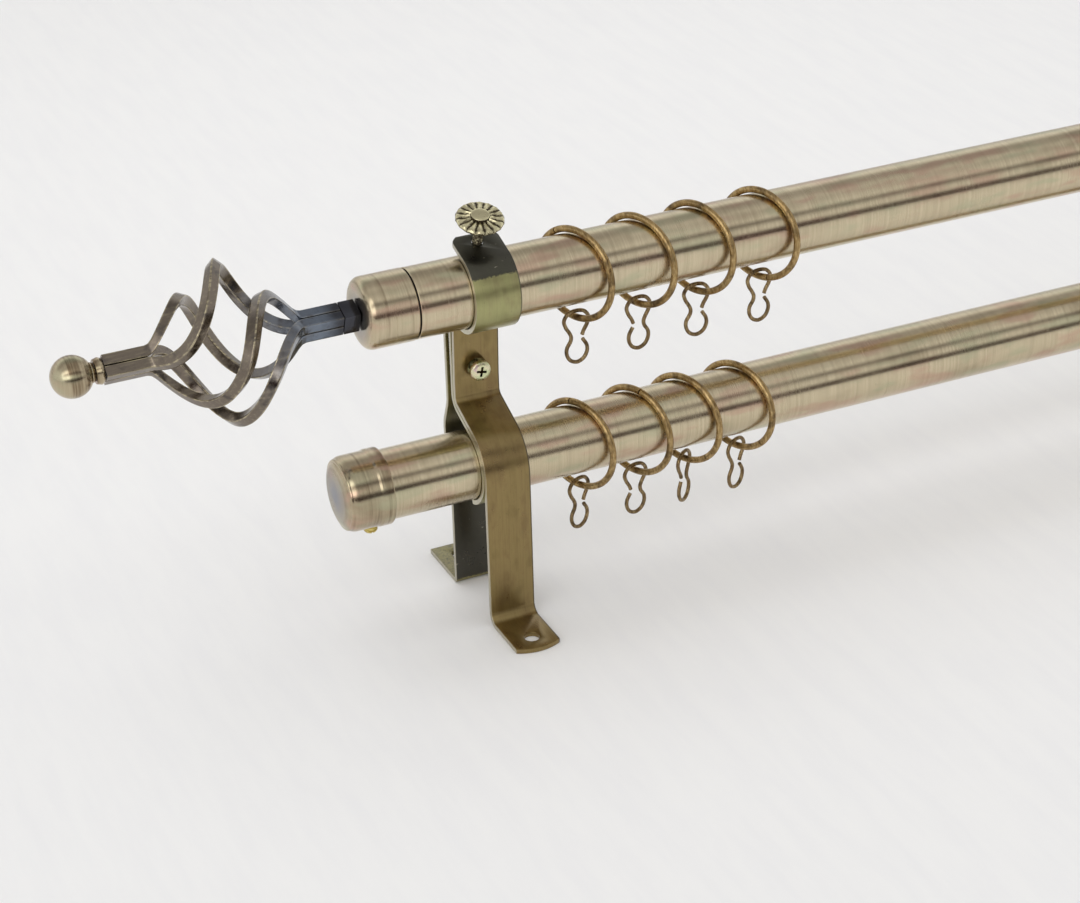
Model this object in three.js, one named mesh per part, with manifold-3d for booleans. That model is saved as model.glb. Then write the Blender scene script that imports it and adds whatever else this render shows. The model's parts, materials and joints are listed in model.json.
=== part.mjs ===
// Double curtain rod on clamp brackets, millimetres, +Z up.
// X runs along the poles, -Y is the front. The brackets stand on their feet at z = 0.
import * as THREE from 'three';
import { mergeVertices } from 'three/addons/utils/BufferGeometryUtils.js';
import Module from 'manifold-3d';

const wasm = await Module();
wasm.setup();

// ---- driving dimensions ----
const poleRadius = 14;            // both poles are 28 mm tube
const poleWall = 0.8;
const outerPoleLength = 1000;     // between the two finials
const innerPoleHeight = 64.3;     // axis above the feet
const outerPoleHeight = 139;
const finialSetback = 30.5;       // bracket centre to the outer pole's end
const endCapSetback = 45.6;       // bracket centre to the end cap's rim
const innerPoleOverhang = 61;     // bracket centre to the inner pole's end
const strapWidth = 19;
const strapThickness = 2;
const gap = 0.3;                  // between pieces that touch
const footReach = 45;             // feet reach this far to the front and to the back
const footHoleRadius = 3.2;
const footHoleReach = 36.4;
const screwHeight = 101.2;        // cross screw through the three straps
const flangeTilt = 18;            // degrees, the clamp's top flange under the thumbscrew
const flangeLength = 13.2;
const flangeHoleAt = 8.5;         // along the flange from where it leaves the pole
const ringRadius = 18.5;          // to the middle of the wire
const ringWire = 1.4;             // wire radius
const ringTurn = 24;              // degrees, how the rings lie across the pole
const clipWire = 0.8;
const barSize = 4.3;              // square bars of the finial
const bracketX = outerPoleLength / 2 - finialSetback;

const rad = THREE.MathUtils.degToRad;

// ---- materials ----
const finishes = {
  poleBrass: { color: 0x9c8a6c, roughness: 0.34, metalness: 1 },
  darkBar: { color: 0x5b564f, roughness: 0.42, metalness: 1 },
  strapLacquer: { color: 0x857650, roughness: 0.45, metalness: 0.8 },
  ringBronze: { color: 0x7a623c, roughness: 0.35, metalness: 1 },
  clipBronze: { color: 0x5e4c33, roughness: 0.4, metalness: 1 },
  yellowZinc: { color: 0xc9bf8f, roughness: 0.35, metalness: 1 },
  brightBrass: { color: 0xb08a45, roughness: 0.3, metalness: 1 },
  blackPlastic: { color: 0x1c1a18, roughness: 0.6, metalness: 0 },
};

function material(finish) {
  return new THREE.MeshStandardMaterial(finishes[finish]);
}

function piece(name, geometry, finish) {
  const mesh = new THREE.Mesh(geometry, material(finish));
  mesh.name = name;
  return mesh;
}

// ---- joining and cutting ----
function toSolid(geometry) {
  const bare = geometry.clone();
  bare.deleteAttribute('normal');
  bare.deleteAttribute('uv');
  const merged = mergeVertices(bare, 1e-4);
  const vertProperties = new Float32Array(merged.attributes.position.array);
  const triVerts = new Uint32Array(merged.index.array);
  return new wasm.Manifold(new wasm.Mesh({ numProp: 3, vertProperties, triVerts }));
}

function toGeometry(solid) {
  const mesh = solid.getMesh();
  const geometry = new THREE.BufferGeometry();
  const positions = [];
  for (let i = 0; i < mesh.vertProperties.length; i += mesh.numProp) {
    positions.push(...mesh.vertProperties.slice(i, i + 3));
  }
  geometry.setAttribute('position', new THREE.Float32BufferAttribute(positions, 3));
  geometry.setIndex(Array.from(mesh.triVerts));
  geometry.computeVertexNormals();
  return geometry;
}

function cut(geometry, tools) {
  let solid = toSolid(geometry);
  for (const tool of tools) {
    solid = solid.subtract(toSolid(tool));
  }
  return toGeometry(solid);
}

function join(first, ...others) {
  let solid = toSolid(first);
  for (const other of others) {
    solid = solid.add(toSolid(other));
  }
  return toGeometry(solid);
}

// ---- outlines in the Y-Z plane ----
function polar(centre, radius, degrees) {
  return new THREE.Vector2(
    centre.x + radius * Math.cos(rad(degrees)),
    centre.y + radius * Math.sin(rad(degrees)),
  );
}

function arcPoints(centre, radius, fromDeg, toDeg, stepDeg = 12) {
  const steps = Math.max(2, Math.ceil(Math.abs(toDeg - fromDeg) / stepDeg));
  const points = [];
  for (let i = 0; i <= steps; i++) {
    points.push(polar(centre, radius, fromDeg + (toDeg - fromDeg) * i / steps));
  }
  return points;
}

// Points of a bend that rounds a corner between two straight stretches.
function bendPoints(before, corner, after, radius) {
  const back = before.clone().sub(corner).normalize();
  const ahead = after.clone().sub(corner).normalize();
  const half = Math.acos(THREE.MathUtils.clamp(back.dot(ahead), -1, 1)) / 2;
  const reach = radius / Math.tan(half);
  const middle = back.clone().add(ahead).normalize();
  const centre = corner.clone().addScaledVector(middle, radius / Math.sin(half));
  const start = corner.clone().addScaledVector(back, reach).sub(centre);
  const end = corner.clone().addScaledVector(ahead, reach).sub(centre);
  const sweep = Math.atan2(start.cross(end), start.dot(end));
  const steps = Math.max(2, Math.ceil(Math.abs(sweep) / rad(18)));
  const points = [];
  for (let i = 0; i <= steps; i++) {
    points.push(start.clone().rotateAround(new THREE.Vector2(), sweep * i / steps).add(centre));
  }
  return points;
}

// A flat strip bent along a line of the Y-Z plane, as wide as the strap along X.
function bentStrip(line) {
  const half = strapThickness / 2;
  const left = [];
  const right = [];
  line.forEach((point, i) => {
    const before = line[Math.max(i - 1, 0)];
    const after = line[Math.min(i + 1, line.length - 1)];
    const inward = point.clone().sub(before);
    const outward = after.clone().sub(point);
    if (i === 0) inward.copy(outward);
    if (i === line.length - 1) outward.copy(inward);
    const along = inward.normalize().add(outward.normalize()).normalize();
    const mitre = half / along.dot(outward);
    const side = new THREE.Vector2(-along.y, along.x).multiplyScalar(mitre);
    left.push(point.clone().add(side));
    right.push(point.clone().sub(side));
  });
  const shape = new THREE.Shape([...left, ...right.reverse()]);
  const geometry = new THREE.ExtrudeGeometry(shape, { depth: strapWidth, bevelEnabled: false, steps: 1 });
  geometry.translate(0, 0, -strapWidth / 2);
  geometry.applyMatrix4(new THREE.Matrix4().makeBasis(
    new THREE.Vector3(0, 1, 0),
    new THREE.Vector3(0, 0, 1),
    new THREE.Vector3(1, 0, 0),
  ));
  return geometry;
}

function drill(radius, length, axis, x, y, z, sides = 20) {
  const tool = new THREE.CylinderGeometry(radius, radius, length, sides);
  if (axis === 'z') tool.rotateX(Math.PI / 2);
  return tool.translate(x, y, z);
}

// ---- straps of a bracket ----
const outerPole = new THREE.Vector2(0, outerPoleHeight);
const innerPole = new THREE.Vector2(0, innerPoleHeight);
const hugRadius = poleRadius + 0.4 + strapThickness / 2;    // middle of a strap round a pole
const stackStep = strapThickness + gap;                     // from one strap to the next
const hookBack = 12.3;                                      // the hook strap's upright
const hookCorner = new THREE.Vector2(hookBack, 86);
const leaveAngle = (() => {
  const toCorner = hookCorner.clone().sub(innerPole);
  const spread = Math.acos(hugRadius / toCorner.length());
  return THREE.MathUtils.radToDeg(toCorner.angle() + spread);
})();
const flangeStart = polar(outerPole, hugRadius, 90 + flangeTilt);
const flangeAlong = new THREE.Vector2(Math.cos(rad(flangeTilt)), Math.sin(rad(flangeTilt)));
const flangeHole = flangeStart.clone().addScaledVector(flangeAlong, flangeHoleAt);

function hookStrap() {
  const underPole = new THREE.Vector2(hookBack, outerPoleHeight - hugRadius);
  const bottom = polar(outerPole, hugRadius, 270);
  const overInner = polar(innerPole, hugRadius, leaveAngle);
  const line = [
    flangeStart.clone().addScaledVector(flangeAlong, flangeLength),
    ...arcPoints(outerPole, hugRadius, 90 + flangeTilt, 270),
    ...bendPoints(bottom, underPole, hookCorner, 3.5),
    ...bendPoints(underPole, hookCorner, overInner, 4 + stackStep),
    ...arcPoints(innerPole, hugRadius, leaveAngle, 256),
  ];
  const screwHole = drill(2.3, 8, 'y', 0, hookBack, screwHeight);
  const thumbHole = drill(2.3, 8, 'z', 0, 0, 0);
  thumbHole.rotateX(rad(flangeTilt));
  thumbHole.translate(0, flangeHole.x, flangeHole.y);
  return cut(bentStrip(line), [screwHole, thumbHole]);
}

// A vertical prism whose front end is a shallow arc, to round the end of the front foot.
function roundFootEnd() {
  const corner = footReach - 2.6;
  const shape = new THREE.Shape();
  shape.moveTo(-strapWidth, 60);
  shape.lineTo(-strapWidth, 0);
  shape.lineTo(-strapWidth / 2, -corner);
  shape.quadraticCurveTo(0, -2 * footReach + corner, strapWidth / 2, -corner);
  shape.lineTo(strapWidth, 0);
  shape.lineTo(strapWidth, 60);
  const prism = new THREE.ExtrudeGeometry(shape, { depth: 220, bevelEnabled: false, curveSegments: 8 });
  return prism.translate(0, 0, -20);
}

function frontStrap() {
  const hug = hugRadius + stackStep;
  const back = hookBack - stackStep;
  const overInner = polar(innerPole, hug, leaveAngle);
  const slope = hookCorner.clone().sub(polar(innerPole, hugRadius, leaveAngle)).normalize();
  const corner = overInner.clone().addScaledVector(slope, (back - overInner.x) / slope.x);
  const top = new THREE.Vector2(back - 1.2, outerPoleHeight - hugRadius - 1 - gap - 0.6);
  const knee = new THREE.Vector2(back, 97);
  const ankle = new THREE.Vector2(-hug, strapThickness / 2);
  const toe = new THREE.Vector2(-footReach - 1, strapThickness / 2);
  const line = [
    top,
    knee,
    ...bendPoints(knee, corner, overInner, 4),
    ...arcPoints(innerPole, hug, leaveAngle, 180),
    ...bendPoints(polar(innerPole, hug, 180), ankle, toe, 5),
    toe,
  ];
  const screwHole = drill(3.8, 8, 'y', 0, back, screwHeight);
  const footHole = drill(footHoleRadius, 8, 'z', 0, -footHoleReach, 0);
  const solid = toSolid(bentStrip(line)).intersect(toSolid(roundFootEnd()));
  return cut(toGeometry(solid), [screwHole, footHole]);
}

function rearStrap() {
  const upright = 17.8;
  const belly = 22.3;           // it bellies out behind the inner pole
  const corners = [
    [upright, 118, 0], [upright, 84, 10], [belly, 73, 12], [belly, 56, 12],
    [upright, 45, 10], [upright, strapThickness / 2, 1.6], [footReach, strapThickness / 2, 0],
  ];
  const at = corners.map(([y, z]) => new THREE.Vector2(y, z));
  const line = [at[0]];
  for (let i = 1; i < at.length - 1; i++) {
    line.push(...bendPoints(at[i - 1], at[i], at[i + 1], corners[i][2]));
  }
  line.push(at[at.length - 1]);
  const screwHole = drill(2.3, 8, 'y', 0, upright, screwHeight);
  const footHole = drill(footHoleRadius, 8, 'z', 0, footHoleReach, 0);
  return cut(bentStrip(line), [screwHole, footHole]);
}

// ---- turned pieces: profile points are [radius, along] ----
function turned(profile, segments = 32) {
  const points = profile.map(([radius, along]) => new THREE.Vector2(radius, along));
  return new THREE.LatheGeometry(points, segments);
}

function alongX(geometry) {
  return geometry.rotateZ(-Math.PI / 2);
}

// Cross screw: pan head in front of the front strap, shank through all three straps.
const screwHeadFront = 3.7;
const screwEnd = 24;

function crossScrew() {
  const headThickness = 2.4;
  const shank = 1.95;
  const geometry = turned([
    [0, 0], [2.6, 0.1], [3.7, 0.6], [4.2, 1.4], [4.2, headThickness],
    [shank, headThickness], [shank, screwEnd - screwHeadFront], [0, screwEnd - screwHeadFront],
  ], 20);
  const bladeA = new THREE.BoxGeometry(4, 3, 0.8);
  const bladeB = new THREE.BoxGeometry(0.8, 3, 4);
  return cut(geometry, [bladeA, bladeB]).translate(0, screwHeadFront, 0);
}

function hexNut() {
  const nut = new THREE.CylinderGeometry(4.04, 4.04, 3.2, 6);
  return cut(nut, [drill(2.3, 6, 'y', 0, 0, 0, 16)]);
}

// Thumbscrew: the head is a fluted disc with a domed button, the shank is a plain rod.
const knob = { radius: 9.3, petals: 16, bottom: 9.9, discBottom: 11.2, discTop: 14, top: 15.2 };
const shankFoot = -2.6;          // measured up from the middle of the flange

function fluteOutline() {
  const points = [];
  const count = knob.petals * 3;
  for (let i = 0; i < count; i++) {
    const angle = 2 * Math.PI * i / count;
    const radius = i % 3 === 0 ? knob.radius - 0.7 : knob.radius;
    points.push(new THREE.Vector2(radius * Math.cos(angle), radius * Math.sin(angle)));
  }
  return new THREE.Shape(points);
}

function thumbKnob() {
  const depth = knob.discTop - knob.discBottom;
  const disc = new THREE.ExtrudeGeometry(fluteOutline(), { depth, bevelEnabled: false, steps: 1 });
  disc.translate(0, 0, knob.discBottom);
  const core = turned([
    [0, knob.bottom], [3.2, knob.bottom], [3.2, knob.discBottom + 0.5], [3.6, knob.discTop - 0.2],
    [2.6, knob.top - 0.3], [0, knob.top],
  ], 20).rotateX(Math.PI / 2);
  return join(disc, core);
}

function thumbShank() {
  const length = knob.bottom - gap - shankFoot;
  const rod = new THREE.CylinderGeometry(2, 2, length, 16);
  return rod.rotateX(Math.PI / 2).translate(0, 0, shankFoot + length / 2);
}

function thumbscrew(side) {
  const group = new THREE.Group();
  group.position.set(0, flangeHole.x, flangeHole.y);
  group.rotation.x = rad(flangeTilt);
  group.add(piece(`${side}_thumbscrew_knob`, thumbKnob(), 'brightBrass'));
  group.add(piece(`${side}_thumbscrew_shank`, thumbShank(), 'yellowZinc'));
  return group;
}

function bracket(side) {
  const group = new THREE.Group();
  group.add(piece(`${side}_front_strap`, frontStrap(), 'strapLacquer'));
  group.add(piece(`${side}_hook_strap`, hookStrap(), 'strapLacquer'));
  group.add(piece(`${side}_rear_strap`, rearStrap(), 'strapLacquer'));
  const screw = piece(`${side}_cross_screw`, crossScrew(), 'yellowZinc');
  screw.position.z = screwHeight;
  group.add(screw);
  const nut = piece(`${side}_cross_nut`, hexNut(), 'yellowZinc');
  nut.position.set(0, 20.7, screwHeight);
  group.add(nut);
  group.add(thumbscrew(side));
  return group;
}

// ---- finial, built with its axis along +X and its seam at x = 0 ----
const capLength = 20.8;
const blockEnd = 27.5;
const cage = { start: 43.9, end: 101.8, radius: 29.7, turn: -204, middleAngle: 12.3, lag: -0.33, flare: 1.3 };
const bundleRadius = (barSize + gap) / Math.SQRT2;
const barEnd = 119.5;
const collarEnd = 122.8;
const ball = { centre: 131.1, radius: 8 };

class CageBar extends THREE.Curve {
  constructor(index) {
    super();
    this.index = index;
  }

  // Angle and distance from the axis at a place along it: a bundle, a twisted belly, a bundle.
  polarAt(x) {
    const t = THREE.MathUtils.clamp((x - cage.start) / (cage.end - cage.start), 0, 1);
    const twist = t - 0.5 + cage.lag * Math.sin(2 * Math.PI * t) / (2 * Math.PI);
    const belly = 1 - Math.pow(Math.abs(2 * t - 1), cage.flare);
    return {
      angle: rad(cage.middleAngle + 90 * this.index + cage.turn * twist),
      distance: bundleRadius + (cage.radius - bundleRadius) * belly,
    };
  }

  getPoint(t, target = new THREE.Vector3()) {
    const first = blockEnd + gap;
    const x = first + (barEnd - first) * t;
    const { angle, distance } = this.polarAt(x);
    return target.set(x, distance * Math.cos(angle), distance * Math.sin(angle));
  }
}

// A square bar swept along its curve, its section turning with the curve round the X axis.
function squareBar(index) {
  const curve = new CageBar(index);
  const stations = [0, 0.17];
  for (let i = 1; i < 22; i++) {
    stations.push(0.176 + 0.632 * (i / 22));
  }
  stations.push(0.812, 1);
  const half = barSize / 2;
  const corners = [[-1, -1], [1, -1], [1, 1], [-1, 1]];
  const positions = [];
  const faces = [];
  stations.forEach((t, row) => {
    const point = curve.getPoint(t);
    const tangent = curve.getPoint(Math.min(t + 0.004, 1)).sub(curve.getPoint(Math.max(t - 0.004, 0)));
    tangent.normalize();
    const { angle } = curve.polarAt(point.x);
    const radial = new THREE.Vector3(0, Math.cos(angle), Math.sin(angle));
    radial.addScaledVector(tangent, -radial.dot(tangent)).normalize();
    const side = new THREE.Vector3().crossVectors(tangent, radial);
    for (const [a, b] of corners) {
      const out = (a + b) * half / Math.SQRT2;
      const across = (b - a) * half / Math.SQRT2;
      const corner = point.clone().addScaledVector(radial, out).addScaledVector(side, across);
      positions.push(corner.x, corner.y, corner.z);
    }
    if (row === 0) return;
    for (let k = 0; k < 4; k++) {
      const next = (k + 1) % 4;
      const base = (row - 1) * 4;
      faces.push(base + k, base + next, base + 4 + next, base + k, base + 4 + next, base + 4 + k);
    }
  });
  const last = (stations.length - 1) * 4;
  faces.push(0, 2, 1, 0, 3, 2, last, last + 1, last + 2, last, last + 2, last + 3);
  const geometry = new THREE.BufferGeometry();
  geometry.setAttribute('position', new THREE.Float32BufferAttribute(positions, 3));
  geometry.setIndex(faces);
  geometry.computeVertexNormals();
  return geometry;
}

function finialCap() {
  return alongX(turned([
    [0, 10.5], [13.2, 10.5], [13.2, gap], [14.2, gap], [14.2, 18.2], [13.6, 19.9],
    [12.2, capLength], [0, capLength],
  ]));
}

function finialSpigot() {
  return alongX(turned([[0, -18], [12.2, -18], [12.9, -17], [12.9, 10.2], [0, 10.2]]));
}

function finialBall() {
  const profile = [[0, collarEnd + gap], [3.6, collarEnd + gap]];
  for (let degrees = 150; degrees >= 15; degrees -= 15) {
    const angle = rad(degrees);
    profile.push([ball.radius * Math.sin(angle), ball.centre + ball.radius * Math.cos(angle)]);
  }
  profile.push([0, ball.centre + ball.radius]);
  return alongX(turned(profile, 24));
}

function finial(side) {
  const group = new THREE.Group();
  group.add(piece(`${side}_finial_spigot`, finialSpigot(), 'blackPlastic'));
  group.add(piece(`${side}_finial_cap`, finialCap(), 'poleBrass'));
  const blockLength = blockEnd - capLength - gap;
  const block = new THREE.BoxGeometry(blockLength, 10.2, 10.2);
  block.rotateX(rad(cage.middleAngle - cage.turn / 2 + 45));
  block.translate(capLength + gap + blockLength / 2, 0, 0);
  group.add(piece(`${side}_finial_block`, block, 'darkBar'));
  ['a', 'b', 'c', 'd'].forEach((letter, index) => {
    group.add(piece(`${side}_finial_bar_${letter}`, squareBar(index), 'darkBar'));
  });
  const collar = turned([
    [0, barEnd + gap], [4.7, barEnd + gap], [5.2, barEnd + 1.2], [4.6, collarEnd], [0, collarEnd],
  ], 24);
  group.add(piece(`${side}_finial_collar`, alongX(collar), 'poleBrass'));
  group.add(piece(`${side}_finial_ball`, finialBall(), 'poleBrass'));
  return group;
}

// ---- end cap of the inner pole, rim at x = 0 and closed end at +X ----
const endCap = { radius: 15.5, bore: 14.3, length: 19.6, screwAt: 5.9 };

function endCapCup() {
  const floor = endCap.length - 1.7;
  const cup = alongX(turned([
    [0, floor], [endCap.bore, floor], [endCap.bore, 0], [endCap.radius, 0],
    [endCap.radius, endCap.length - 4], [14.6, endCap.length - 1.6], [12.6, endCap.length - 0.3],
    [10, endCap.length], [0, endCap.length],
  ], 36));
  return cut(cup, [drill(1.8, 6, 'z', endCap.screwAt, 0, -endCap.radius, 12)]);
}

function endCapScrew() {
  const profile = [
    [0, -endCap.bore], [1.5, -endCap.bore], [1.5, -15.8], [2.9, -15.8], [2.9, -18],
    [2.2, -18.9], [0, -19.1],
  ];
  const geometry = turned(profile.reverse(), 16).rotateX(Math.PI / 2);
  return geometry.translate(endCap.screwAt, 0, 0);
}

function endCapSet(side) {
  const group = new THREE.Group();
  group.add(piece(`${side}_end_cap`, endCapCup(), 'poleBrass'));
  group.add(piece(`${side}_end_cap_screw`, endCapScrew(), 'brightBrass'));
  return group;
}

// ---- rings with their clips ----
function wireSection(radius, sides) {
  const points = [];
  for (let i = 0; i < sides; i++) {
    const angle = 2 * Math.PI * i / sides;
    points.push(new THREE.Vector2(radius * Math.cos(angle), radius * Math.sin(angle)));
  }
  return new THREE.Shape(points);
}

// Ring wire in the Y-Z plane, open by a narrow slit where its two ends meet.
class RingWire extends THREE.Curve {
  constructor(slitDeg) {
    super();
    this.slit = rad(slitDeg);
  }

  getPoint(t, target = new THREE.Vector3()) {
    const opening = 0.5 / ringRadius;
    const angle = this.slit + opening / 2 + (2 * Math.PI - opening) * t;
    return target.set(0, ringRadius * Math.cos(angle), ringRadius * Math.sin(angle));
  }
}

function ringSolid(slitDeg) {
  return new THREE.ExtrudeGeometry(wireSection(ringWire, 6), {
    steps: 26,
    bevelEnabled: false,
    extrudePath: new RingWire(slitDeg),
  });
}

// Clip: a wide eye over the ring wire, a waist that opens on one side, a narrow eye below.
const clipHalf = [[0, 2.7], [3.4, 1.9], [5.3, -0.8], [4.7, -3.6], [3.1, -6.4], [2.4, -8.2]];
const clipEye = [[2.6, -10], [4.3, -13], [4.4, -15.6], [2.9, -18.4], [0, -19.6]];

function clipSolid(openRight) {
  const hand = openRight ? 1 : -1;
  const flip = ([across, up], sign) => new THREE.Vector3(sign * across, 0, up);
  const points = [
    ...clipEye.map((p) => flip(p, hand)),
    ...clipEye.slice(0, -1).reverse().map((p) => flip(p, -hand)),
    ...clipHalf.slice(1).reverse().map((p) => flip(p, -hand)),
    ...clipHalf.map((p) => flip(p, hand)),
  ];
  return new THREE.ExtrudeGeometry(wireSection(clipWire, 6), {
    steps: 34,
    bevelEnabled: false,
    extrudePath: new THREE.CatmullRomCurve3(points, false, 'centripetal'),
  });
}

// Distance from the bracket's centre, slit place, clip turn and clip side for each ring.
const outerRings = [[39.3, 60, 0, true], [66.4, 40, 4, false], [92.2, 300, -4, true], [120.7, 255, 2, true]];
const innerRings = [[38.8, 80, 20, true], [64.3, 100, 10, false], [86.6, 228, 36, false], [110.9, 224, 24, true]];

function ringRow(label, rings, height) {
  const row = new THREE.Group();
  const hang = ringRadius - ringWire - poleRadius - 0.4;
  row.position.set(-bracketX, 0, height - hang);
  rings.forEach(([x, slit, clipTurn, openRight], i) => {
    const ring = piece(`${label}_ring_${i + 1}`, ringSolid(slit), 'ringBronze');
    ring.position.x = x;
    ring.rotation.z = rad(ringTurn);
    row.add(ring);
    const clip = piece(`${label}_clip_${i + 1}`, clipSolid(openRight), 'clipBronze');
    clip.position.set(x, 0, -ringRadius);
    clip.rotation.z = rad(clipTurn);
    row.add(clip);
  });
  return row;
}

function pole(name, length, height) {
  const tube = turned([
    [poleRadius - poleWall, -length / 2], [poleRadius, -length / 2], [poleRadius, length / 2],
    [poleRadius - poleWall, length / 2], [poleRadius - poleWall, -length / 2],
  ], 40);
  const mesh = piece(name, alongX(tube), 'poleBrass');
  mesh.position.z = height;
  return mesh;
}

// ---- the whole object, origin under the middle of the poles ----
const group = new THREE.Group();
group.add(pole('outer_pole', outerPoleLength, outerPoleHeight));
group.add(pole('inner_pole', 2 * (bracketX + innerPoleOverhang), innerPoleHeight));
for (const side of ['left', 'right']) {
  const way = side === 'left' ? -1 : 1;
  const stand = bracket(side);
  stand.position.x = way * bracketX;
  group.add(stand);
  const tip = finial(side);
  tip.position.set(way * outerPoleLength / 2, 0, outerPoleHeight);
  tip.rotation.z = side === 'left' ? Math.PI : 0;
  group.add(tip);
  const cup = endCapSet(side);
  cup.position.set(way * (bracketX + endCapSetback), 0, innerPoleHeight);
  cup.rotation.z = side === 'left' ? Math.PI : 0;
  group.add(cup);
}
group.add(ringRow('outer', outerRings, outerPoleHeight));
group.add(ringRow('inner', innerRings, innerPoleHeight));

export default group;
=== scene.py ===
import json
import math

import bmesh
import bpy
from mathutils import Matrix, Vector


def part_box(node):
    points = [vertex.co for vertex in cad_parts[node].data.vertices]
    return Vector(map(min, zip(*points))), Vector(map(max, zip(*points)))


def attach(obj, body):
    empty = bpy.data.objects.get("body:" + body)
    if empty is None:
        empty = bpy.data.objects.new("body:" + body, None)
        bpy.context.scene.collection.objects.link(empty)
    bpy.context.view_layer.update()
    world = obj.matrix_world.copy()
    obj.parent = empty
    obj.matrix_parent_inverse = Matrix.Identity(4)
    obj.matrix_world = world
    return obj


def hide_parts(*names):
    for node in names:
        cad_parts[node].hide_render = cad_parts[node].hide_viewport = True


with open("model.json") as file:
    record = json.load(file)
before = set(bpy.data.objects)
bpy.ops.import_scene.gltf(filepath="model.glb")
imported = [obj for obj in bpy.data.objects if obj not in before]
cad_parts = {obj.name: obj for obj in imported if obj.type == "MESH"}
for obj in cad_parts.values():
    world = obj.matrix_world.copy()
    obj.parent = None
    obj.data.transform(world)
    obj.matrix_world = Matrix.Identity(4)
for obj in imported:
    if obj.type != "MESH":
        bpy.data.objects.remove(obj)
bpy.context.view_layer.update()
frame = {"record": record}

mm = 0.001
sides = ("left", "right")
away = {"left": -1, "right": 1}  # the way that each side's outer end points along X


# A CAD node's middle and size, in millimetres
def middle(node):
    low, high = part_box(node)
    return (low + high) / 2 / mm


def span(node):
    low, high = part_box(node)
    return (high - low) / mm


# Places that the frame gives, in millimetres
bracketX = middle("right_hook_strap").x
outerHeight = middle("outer_pole").z
innerHeight = middle("inner_pole").z
poleRadius = span("outer_pole").z / 2
poleEndX = span("outer_pole").x / 2
strapWidth = span("right_hook_strap").x
screwHeight = middle("right_cross_screw").z


def toLinear(hexColour):
    parts = [int(hexColour[i:i + 2], 16) / 255 for i in (1, 3, 5)]
    return tuple(c / 12.92 if c <= 0.04045 else ((c + 0.055) / 1.055) ** 2.4 for c in parts) + (1.0,)


# Fills a node's sockets, each with a plain value or with another node's output
def plug(tree, node, sockets):
    for socket, value in sockets.items():
        if isinstance(value, bpy.types.NodeSocket):
            tree.links.new(value, node.inputs[socket])
        else:
            node.inputs[socket].default_value = value


def addNode(tree, kind, sockets=None, **settings):
    node = tree.nodes.new(kind)
    for name, value in settings.items():
        setattr(node, name, value)
    plug(tree, node, sockets or {})
    return node


def newMaterial(name):
    made = bpy.data.materials.new(name)
    made.use_nodes = True
    shader = made.node_tree.nodes["Principled BSDF"]
    return made, made.node_tree, shader


# Noise on Object coordinates, with one size in millimetres for each direction
def noiseInMm(tree, sizes, detail=3.0, roughness=0.5, centre=(0, 0, 0)):
    place = addNode(tree, "ShaderNodeTexCoord").outputs["Object"]
    scale = [1 / (size * mm) for size in sizes]
    moved = addNode(tree, "ShaderNodeMapping", {"Vector": place, "Scale": scale, "Location": centre})
    return addNode(tree, "ShaderNodeTexNoise", {
        "Vector": moved.outputs["Vector"], "Scale": 1.0, "Detail": detail, "Roughness": roughness,
    }).outputs["Fac"]


# Eases a value from one range to another, and holds it at the ends
def stretch(tree, value, low, high, toLow=0.0, toHigh=1.0):
    return addNode(tree, "ShaderNodeMapRange", {
        "Value": value, "From Min": low, "From Max": high, "To Min": toLow, "To Max": toHigh,
    }, interpolation_type="SMOOTHSTEP").outputs["Result"]


# Mixes two colours, each a hex string or a node's output
def blendColours(tree, factor, first, second):
    node = addNode(tree, "ShaderNodeMix", data_type="RGBA")
    first, second = (toLinear(c) if isinstance(c, str) else c for c in (first, second))
    plug(tree, node, {0: factor, 6: first, 7: second})
    return node.outputs[2]


def sums(tree, operation, first, second=0.0):
    return addNode(tree, "ShaderNodeMath", {0: first, 1: second}, operation=operation).outputs[0]


# A value that the mesh carries at each point
def pointValue(tree, name):
    return addNode(tree, "ShaderNodeAttribute", attribute_name=name).outputs["Fac"]


def objectPlace(tree):
    place = addNode(tree, "ShaderNodeTexCoord").outputs["Object"]
    return addNode(tree, "ShaderNodeSeparateXYZ", {0: place}).outputs


def bumpFrom(tree, shader, height, strength, depth):
    bump = addNode(tree, "ShaderNodeBump", {"Height": height, "Strength": strength, "Distance": depth * mm})
    plug(tree, shader, {"Normal": bump.outputs["Normal"]})


brassLook = {
    "pale": "#D6C8AA",
    "mid": "#C8BA9C",
    "antique": "#86745B",
    "warm": "#C59F8C",      # faint pink where the plating is thin
    "cool": "#B3B595",      # faint green where the lacquer pools
    "heat": "#7C7C82",      # blue-grey bloom on the end faces
    "brushPitch": 0.45,     # real grit lines are 0.05 mm apart: drawn coarse enough to show
    "brushLength": 45,
    "mottle": 15,
    "anisotropy": 0.6,
}


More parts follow.
